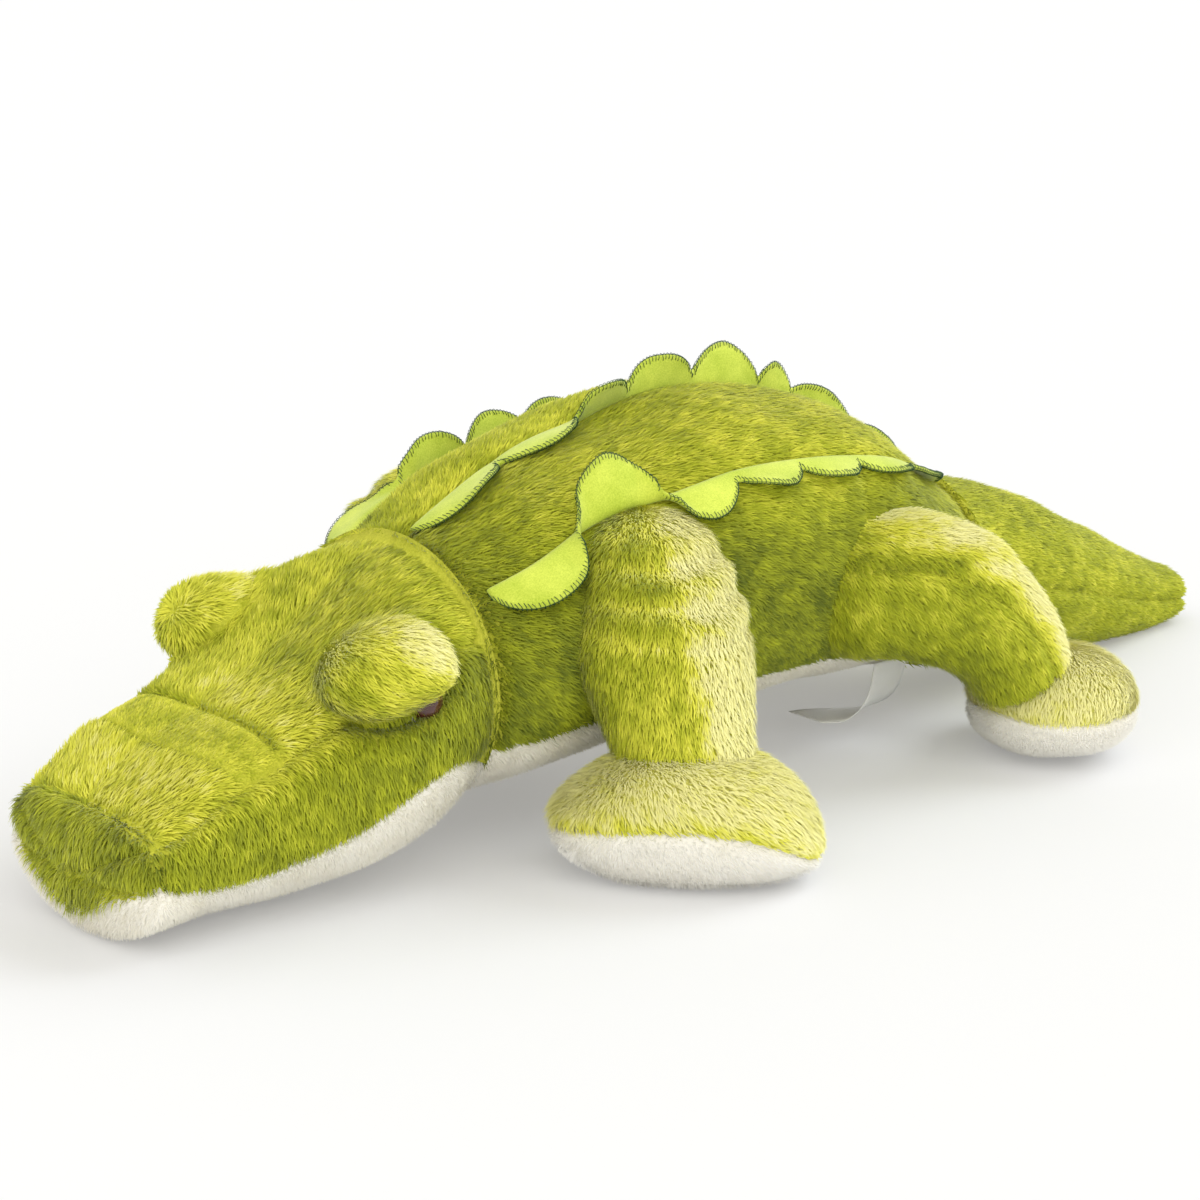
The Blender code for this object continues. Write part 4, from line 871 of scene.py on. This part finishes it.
def makeFoot(look, side, title, mark, flip):
    end, top = look["end"], footLook["topRows"]
    grid = footGrid(look)
    row = np.arange(len(grid))[:, None]
    steps = np.linalg.norm(np.diff(grid, axis=0), axis=2)
    seam = np.append(np.zeros((1, grid.shape[1])), np.cumsum(steps, 0), 0)
    seam = np.abs(seam - seam[top:top + 1])
    sunk = np.where(row > top, footLook["whiteSunk"], footLook["sunk"])
    sunk = sunk + footLook["seamDepth"] * ridge(seam, footLook["seamWidth"] * mm)
    sunk = sunk - footLook["lump"] * lumps(grid, 0.02, 8 + mark) * np.minimum(1, seam / 0.008)
    skin = sink(grid, outward(grid), sunk) * flip
    ankle = np.array(look["ankle"]) * mm * flip
    x, y, z = ankle
    bend = (f"{end}_leg_{side}", f"{end}_foot_{side}", (x, y, 0.040), (x, y, 0.026))
    normals = makeCloth(f"foot{title}Cloth", skin, f"{end}_foot_{side}_stuffing", bend, row >= top, paleCloth)
    centre = np.array((*look["foot"], 20)) * mm * flip
    turn = math.radians(look["yaw"])
    toes = np.array((math.cos(turn) * 0.5, math.sin(turn) * 0.5 * mark, -0.45))
    leg = np.linalg.norm((skin - ankle)[..., :2], axis=-1)
    values = {
        "comb": unit(skin - centre) * (0.7, 0.7, 0) + toes,
        # Painted highlight: the foot tops are pale, the hind ones paler still, with painted shade towards the sole seam
        "shade": look["footTone"] - 0.24 * ramp(0.009, 0.0, seam),
        "growth": (1 - 0.5 * ridge(seam, 0.7 * mm)) * np.where(row > top, 1, ramp(0.005, 0.010, leg)),
        "pile": 1 - 0.3 * ridge(seam, 2 * mm),
    }
    for name, rows, stands in (("foot", (1, top + 1), "top"), ("sole", (top, len(grid) - 1), "sole")):
        growPile(f"{name}{title}Pile", skin, normals, values, rows, (0, grid.shape[1] + 1),
                 f"{end}_foot_{side}_{stands}", bend, name == "sole")


browLook = {
    "share": 0.66, "angle": 48, "radii": (23, 17, 16), "under": 0.85, "overhang": 4, "rise": 5, "far": (3, 8, -2),
    "fairing": 4.5, "sunk": 2.0, "rows": 44, "columns": 84,
    # where the comb starts from, measured from the middle of each brow
    "whorls": {1: (-14, 13, 9), -1: (-34, 6, 22)},
    "eyeShare": 0.755, "eyeAngle": 67, "eyeRadius": 6, "eyeDepth": 4.7, "slit": (4.4, 1.0), "slitTurn": 36,
}


# A point of the head's skin and the way out of it, on the left side
def headPoint(share, angle):
    length = headLook["length"]

    def at(share, angle):
        half, top, under, boxy = (float(value) for value in section(headLook, share * length))
        turn = math.radians(angle)
        across = half * math.sin(turn) ** (2 / boxy)
        up = math.copysign(abs(math.cos(turn)) ** (2 / boxy), math.cos(turn))
        along = headLook["start"] / mm + share * length
        return np.array((along, -across, (top + under) / 2 + (top - under) / 2 * up)) * mm

    here = at(share, angle)
    out = unit(np.cross(at(share + 0.008, angle) - here, at(share, angle + 0.5) - at(share, angle - 0.5)))
    return here, out if out[1] < 0 else -out


# Where a brow's middle lies, both told for the left side
def browCentre(mark=1):
    seat = headPoint(browLook["share"], browLook["angle"])[0]
    shift = np.array((0, -browLook["overhang"], browLook["rise"])) + np.array(browLook["far"]) * (mark < 0)
    return seat + shift * mm


def toLeft(points):
    return joined(points[..., 0], -np.abs(points[..., 1]), points[..., 2])


# How far points lie from a brow's middle, where 1 is its skin
def browReach(points):
    away = toLeft(points) - browCentre()
    radii = np.array(browLook["radii"]) * mm
    tall = np.where(away[..., 2] < 0, browLook["under"], 1.0)
    return np.sqrt((away[..., 0] / radii[0]) ** 2 + (away[..., 1] / radii[1]) ** 2
                   + (away[..., 2] / radii[2] / tall) ** 2)


# True in the slit between brow and cheek where the eye shows
def eyeSlit(points):
    away = toLeft(points) - headPoint(browLook["eyeShare"], browLook["eyeAngle"])[0]
    turn = math.radians(browLook["slitTurn"])
    along = away[..., 0] * math.cos(turn) + away[..., 2] * math.sin(turn)
    up = away[..., 2] * math.cos(turn) - away[..., 0] * math.sin(turn)
    far, tall = np.array(browLook["slit"]) * mm
    return ((along / far) ** 2 + (up / tall) ** 2 < 1) & (np.abs(away[..., 1]) < 12 * mm)


def makeBrowAndEye(side):
    look = browLook
    mark = 1 if side == "left" else -1
    flip = np.array((1, mark, 1))
    title = side.capitalize()
    seat, out = headPoint(look["share"], look["angle"])
    centre = browCentre(mark)
    rows, columns = look["rows"], look["columns"]
    tilts = np.linspace(0, math.pi, rows + 1)[:, None]
    angles = np.arange(columns) * 2 * math.pi / columns
    thin = np.sin(tilts)
    thin[0] = thin[-1] = 0
    radii = np.array(look["radii"]) * mm
    up = thin * np.cos(angles)
    grid = joined(-np.cos(tilts) * radii[0], thin * np.sin(angles) * radii[1],
                  up * radii[2] * np.where(up < 0, look["under"], 1.0)) + centre
    normals = outward(grid)
    skin = sink(grid, normals, look["sunk"] - 1.0 * lumps(grid, 0.016, 11 + mark)) * flip
    skinNormals = makeCloth(f"brow{title}Cloth", skin, f"eye_brow_{side}", "head")
    lit = normals @ unit(np.array((0.75, -0.35, 0.55)))
    inside = np.sum((grid - seat) * out, -1) < 0.5 * mm
    start = centre + np.array(look["whorls"][mark]) * mm
    values = {
        "comb": unit((grid - start) * (1, 1, 0.9)) * flip,
        # Painted highlight and shade: the brows are paler than the head, paler still where they face the key lamp and
        # darker away from it
        "shade": 0.62 + 0.34 * ramp(0.25, 0.9, lit) - 0.10 * ramp(0.0, -0.7, lit),
        "growth": ~inside & ~eyeSlit(grid), "pile": 1.0,
    }
    growPile(f"brow{title}Pile", skin, skinNormals, values, (0, rows + 1), (0, columns + 1), None, "head")

    eye, out = headPoint(look["eyeShare"], look["eyeAngle"])
    middle = (eye - out * look["eyeDepth"] * mm) * flip
    spin = Vector((0, 0, 1)).rotation_difference(Vector(out * flip))
    bm = bmesh.new()
    bmesh.ops.create_uvsphere(bm, u_segments=48, v_segments=24, radius=look["eyeRadius"] * mm)
    bmesh.ops.transform(bm, matrix=Matrix.Translation(Vector(middle)) @ spin.to_matrix().to_4x4(), verts=bm.verts)
    mesh = bpy.data.meshes.new("eye")
    bm.to_mesh(mesh)
    bm.free()
    mesh.shade_smooth()
    ball = piece(f"eye{title}", mesh, eyeGloss)
    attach(ball, "head")
    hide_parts(f"eye_{side}")
    for slot in bpy.data.objects[f"eye_washer_{side}"].material_slots:
        slot.material = washerPlastic


scaleLook = {
    "height": 16, "thick": 1.5, "held": 1.5, "valley": 2.4, "bend": 0.7, "columns": 14, "rows": 8,
    "edge": 0.6, "share": 0.62, "column": {"left": 4, "right": 20, "spine": 0},
    # how each scale leans in degrees, its height as a share, and where scales meet in mm from the neck seam
    "left": ((80, -64, 72, 58, 64, 62, 48), (1.00, 1.16, 0.86, 0.76, 0.70, 0.62, 0.52),
             (5, 35, 67, 95, 123, 153, 185, 221)),
    "right": ((64, -50, -42, -38, 20, 40, 42), (0.95, 0.74, 0.66, 0.52, 0.60, 0.62, 0.52),
              (5, 38, 67, 95, 123, 153, 185, 221)),
    "spine": ((80, 78, 38, 12, -4, 2, 6, 20), (1.00, 0.98, 0.84, 0.66, 0.86, 0.62, 0.52, 0.40),
              (5, 38, 72, 96, 126, 158, 174, 207, 232)),
}


# A strip of felt scales along a back seam. It returns where its stitches go.
def makeScales(name, mark):
    look = scaleLook
    leans, heights, bounds = look[name]
    count, length = len(leans), bodyLook["length"]
    grid = loft(bodyLook, [(x, x, 1.0) for x in np.linspace(0, length, length + 1)],
                (bodyLook["strip"], bodyLook["belly"]), (4, 4, 4))
    column = look["column"][name]
    line, outs = grid[:, column], outward(grid)[:, column]

    def along(values, place):
        return np.array([np.interp(place, range(length + 1), values[:, k]) for k in range(3)])

    centres = np.arange(count) + 0.5
    front, behind = [], []
    half = look["thick"] / 2 * mm
    for step in range(count * look["columns"] + 1):
        t = step / look["columns"]
        at = float(np.interp(t, range(count + 1), bounds))
        root, out = along(line, at), unit(along(outs, at))
        ahead = unit(along(line, at + 2) - along(line, at - 2))
        sideways = unit(np.cross(ahead, out)) * mark
        nearest = np.clip(t - 0.5, 0, count - 1)
        held = np.floor(nearest) + ramp(0.3, 0.7, nearest % 1)
        lean = math.radians(float(np.interp(held + 0.5, centres, leans)))
        tall = float(np.interp(t, centres, heights)) * look["height"]
        arc = math.sin(math.pi * (t % 1)) ** look["bend"] if step % look["columns"] else 0.0
        tall = look["valley"] + (tall - look["valley"]) * arc + look["held"]
        place = root - out * look["held"] * mm
        a, b = [], []
        for r in range(look["rows"] + 1):
            v = r / look["rows"]
            turn = lean * float(ramp(0.0, 0.3, v)) + 0.22 * math.sin(5 * t + 1.3) * v * v
            rise = out * math.cos(turn) + sideways * math.sin(turn)
            if r:
                place = place + rise * tall / look["rows"] * mm
            flat = unit(np.cross(ahead, rise)) * half * (look["edge"] if r == look["rows"] else 1.0)
            a.append(place + flat)
            b.append(place - flat)
        front.append(a)
        behind.append(b)
    front, behind = np.array(front), np.array(behind)
    loop = np.concatenate((front, behind[:, ::-1]), 1)
    size = loop.shape[1]
    faces = [(s + k, s + (k + 1) % size, s + size + (k + 1) % size, s + size + k)
             for s in range(0, (len(loop) - 1) * size, size) for k in range(size)]
    faces += [(s + k, s + k + 1, s + size - 2 - k, s + size - 1 - k)
              for s in (0, (len(loop) - 1) * size) for k in range(look["rows"])]
    strip = piece(f"scales{name.capitalize()}", solidMesh(name, loop.reshape(-1, 3), faces), limeFelt)
    smooth = strip.modifiers.new("soft", "SUBSURF")
    smooth.levels = smooth.render_levels = 1
    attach(strip, "body")
    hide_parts(f"scale_strip_{name}")
    flat = (look["height"] * mm + look["held"] * mm, float(bounds[-1] - bounds[0]) * mm)
    print("  scales", name, count)
    edge = (front[:, -1] + behind[:, -1]) / 2
    inward = unit((front[:, -3] + behind[:, -3]) / 2 - edge)
    return edge, inward, unit(front[:, -1] - behind[:, -1])


stitchLook = {"thread": 0.24, "reach": 1.7, "step": 1.4, "cord": 0.2, "sides": 5, "room": 0.12}


# Overlock stitches: loops of thread over a felt edge, with a thread that runs along it
def makeStitchTree():
    tree, given, made = group("overlock", [
        ("Edge", "Geometry", None), ("Stitch", "Object", None), ("Thread", "Material", None),
        ("Count", "Int", 200), ("Cord", "Float", 0.4 * mm), ("Seed", "Int", 3),
    ], [("Stitches", "Geometry")], "GeometryNodeTree")
    path = node(tree, "GeometryNodeMeshToCurve", {0: given["Edge"]}).outputs[0]
    path = node(tree, "GeometryNodeResampleCurve", {"Curve": path, "Count": given["Count"]}).outputs[0]
    inward, across = (named(tree, key, "FLOAT_VECTOR") for key in ("inward", "across"))
    scale = combined(tree, 1.0, 1.0, randoms(tree, 0.8, 1.2, given["Seed"]))
    sewn = planted(tree, path, given["Stitch"], inward, across, ((-0.1, -0.25, -0.1), (0.1, 0.25, 0.1)),
                   given["Seed"], scale)
    real = node(tree, "GeometryNodeRealizeInstances", {0: sewn})
    ring = node(tree, "GeometryNodeCurvePrimitiveCircle",
                {"Resolution": stitchLook["sides"], "Radius": given["Cord"]})
    cord = node(tree, "GeometryNodeCurveToMesh", {"Curve": path, "Profile Curve": ring.outputs[0], "Fill Caps": True})
    both = node(tree, "GeometryNodeJoinGeometry")
    tree.links.new(real.outputs[0], both.inputs[0])
    tree.links.new(cord.outputs[0], both.inputs[0])
    dressed = node(tree, "GeometryNodeSetMaterial", {"Geometry": both.outputs[0], "Material": given["Thread"]})
    tree.links.new(dressed.outputs[0], made["Stitches"])
    return tree


# One stitch, a bent thread open towards +Z that goes over an edge along X
def makeStitch():
    look = stitchLook
    half = scaleLook["thick"] / 2 + look["room"]
    path = np.array(((half, look["reach"]), (half, 0.5), (half * 0.6, -0.25), (-half * 0.6, -0.25), (-half, 0.5),
                     (-half, look["reach"])))
    sides, radius = look["sides"], look["thread"] / 2
    points = []
    for k, (y, z) in enumerate(path):
        ahead = unit(path[min(k + 1, len(path) - 1)] - path[max(k - 1, 0)])
        for a in np.arange(sides) * 2 * math.pi / sides:
            c, s = math.cos(a) * radius, math.sin(a) * radius
            points.append((c * mm, (y - ahead[1] * s) * mm, (z + ahead[0] * s) * mm))
    faces = [(s + a, s + (a + 1) % sides, s + sides + (a + 1) % sides, s + sides + a)
             for s in range(0, len(points) - sides, sides) for a in range(sides)]
    faces += [tuple(range(sides)), tuple(range(len(points) - 1, len(points) - 1 - sides, -1))]
    return piece("stitch", solidMesh("stitch", points, faces))


stitchTree = makeStitchTree()
stitch = makeStitch()


def sewEdge(name, edge, inward, across):
    mesh = bpy.data.meshes.new(name)
    mesh.from_pydata(edge, [(k, k + 1) for k in range(len(edge) - 1)], [])
    store(mesh, "inward", inward)
    store(mesh, "across", across)
    length = float(np.linalg.norm(np.diff(edge, axis=0), axis=1).sum())
    made = grow(name, piece(name + "Path", mesh), stitchTree, {
        "Stitch": stitch, "Thread": darkThread, "Count": round(length / stitchLook["step"] / mm),
        "Cord": stitchLook["cord"] / 2 * mm})
    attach(made, "body")
    print("  stitches", name, len(made.data.polygons))


labelLook = {
    "width": 17, "length": 46, "thick": 0.35, "rows": 40, "columns": 8, "root": (41, -39.5, 31.0), "cup": 0.7,
    # how steeply it drops and where it heads, in degrees, along its length
    "drop": ((0, 0.25, 0.5, 0.7, 1), (-84, -70, -30, 0, 6)), "heading": ((0, 0.3, 0.7, 1), (96, 104, 150, 176)),
}


# The blank satin label: it hangs from the belly seam, bends and lies on the floor
def makeLabel():
    look = labelLook
    place = np.array(look["root"])
    shares = np.arange(look["columns"] + 1) / look["columns"]
    grid = []
    for row in range(look["rows"] + 1):
        t = row / look["rows"]
        drop, heading = (math.radians(float(curve(*look[key], t))) for key in ("drop", "heading"))
        ahead = np.array((math.cos(heading) * math.cos(drop), math.sin(heading) * math.cos(drop), math.sin(drop)))
        if row:
            place = place + ahead * (look["length"] / look["rows"])
        place[2] = max(place[2], 0.6)
        across = unit(np.array((1, 0, 0)) * (1 - t) + np.array((math.sin(heading), -math.cos(heading), 0)) * t)
        cup = look["cup"] * np.sin(shares * math.pi) * math.sin(math.pi * t)
        grid.append(place + np.outer((shares - 0.5) * look["width"], across)
                    + np.outer(cup, unit(np.cross(across, ahead))))
    grid = np.array(grid) * mm
    grid[..., 2] = np.maximum(grid[..., 2], 0.5 * mm)
    tape = piece("careLabel", gridMesh("careLabel", grid, outward(grid, False), False), satinTape)
    thick = tape.modifiers.new("thick", "SOLIDIFY")
    thick.thickness = look["thick"] * mm
    thick.offset = 0
    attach(tape, "label")
    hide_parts("care_label")


floorLook = {"size": 40.0, "place": (6, 6, 0), "colour": (0.86, 0.875, 0.92), "glow": (1.0, 0.985, 0.94),
             "glowShare": 0.26}
lightLook = {
    "world": (1.0, 0.965, 0.89), "worldStrength": 0.79,
    # energy, how soft in degrees, colour, and the way to the lamp: a key from behind on the right, a fill by the camera
    "key": (1.2, 40, (0.92, 0.97, 1.0), (0.72, -0.25, 0.64)),
    "fill": (1.5, 110, (1.0, 0.98, 0.93), (-0.62, -0.66, 0.20)),
}


def makeFloor():
    bpy.ops.mesh.primitive_plane_add(size=floorLook["size"], location=floorLook["place"])
    floor = bpy.context.object
    floor.name = "floor"
    floor.data.transform(floor.matrix_world)
    floor.matrix_world = Matrix.Identity(4)
    made, tree, shader = material("paleFloor", 0.9, specular=0.0)
    shader.inputs["Base Color"].default_value = (*floorLook["colour"], 1)
    seen = node(tree, "ShaderNodeLightPath").outputs["Is Camera Ray"]
    glow = node(tree, "ShaderNodeEmission", {"Color": (*floorLook["glow"], 1), "Strength": 1.0})
    part = node(tree, "ShaderNodeMixShader", {0: calc(tree, "MULTIPLY", seen, floorLook["glowShare"]),
                                              1: shader.outputs[0], 2: glow.outputs[0]})
    tree.links.new(part.outputs[0], tree.nodes["Material Output"].inputs["Surface"])
    floor.data.materials.append(made)


def makeLight():
    world = bpy.data.worlds.new("studio")
    bpy.context.scene.world = world
    world.use_nodes = True
    tree = world.node_tree
    tree.nodes.clear()
    rays = node(tree, "ShaderNodeLightPath").outputs
    seen = calc(tree, "MAXIMUM", rays["Is Glossy Ray"], rays["Is Transmission Ray"])
    seen = calc(tree, "MAXIMUM", rays["Is Camera Ray"], seen)
    soft = node(tree, "ShaderNodeBackground",
                {"Color": (*lightLook["world"], 1), "Strength": lightLook["worldStrength"]})
    white = node(tree, "ShaderNodeBackground", {"Color": (1, 1, 1, 1), "Strength": 1.0})
    both = node(tree, "ShaderNodeMixShader", {0: seen, 1: soft.outputs[0], 2: white.outputs[0]})
    node(tree, "ShaderNodeOutputWorld", {0: both.outputs[0]})
    for name in ("key", "fill"):
        energy, softness, colour, towards = lightLook[name]
        sun = bpy.data.lights.new(name, "SUN")
        sun.energy, sun.angle, sun.color = energy, math.radians(softness), colour
        place(name, sun, (0, 0, 0), towards, "Z")


cameraLook = {"lens": 75.24, "sensor": 36, "far": 100, "place": (-0.607, -0.592, 0.268), "pitch": 14.3,
              "heading": (0.678, 0.735)}


def makeCamera():
    look = cameraLook
    lens = bpy.data.cameras.new("camera")
    lens.lens, lens.sensor_width, lens.clip_end = look["lens"], look["sensor"], look["far"]
    pitch = math.radians(look["pitch"])
    aim = (look["heading"][0] * math.cos(pitch), look["heading"][1] * math.cos(pitch), -math.sin(pitch))
    bpy.context.scene.camera = place("camera", lens, look["place"], aim, "-Z")


# Puts a lamp or a camera in the scene, with one of its axes along a direction
def place(name, data, where, towards, axis):
    made = bpy.data.objects.new(name, data)
    bpy.context.scene.collection.objects.link(made)
    made.location = where
    made.rotation_euler = Vector(towards).to_track_quat(axis, "Y").to_euler()
    return made


makeBody()
makeHead()
makeTail()
for side in ("left", "right"):
    for look in (frontLegLook, hindLegLook):
        makeLimb(look, side)
    makeBrowAndEye(side)
    print(side, "limbs and brow dressed")
for name, mark in (("left", 1), ("right", -1), ("spine", 1)):
    sewEdge(f"stitches{name.capitalize()}", *makeScales(name, mark))
makeLabel()
print("scales and label dressed")
for source in (longStrand, shortStrand, stitch):
    bpy.data.objects.remove(source)
makeFloor()
makeLight()
makeCamera()
scene = bpy.context.scene
scene.view_settings.view_transform = "Standard"
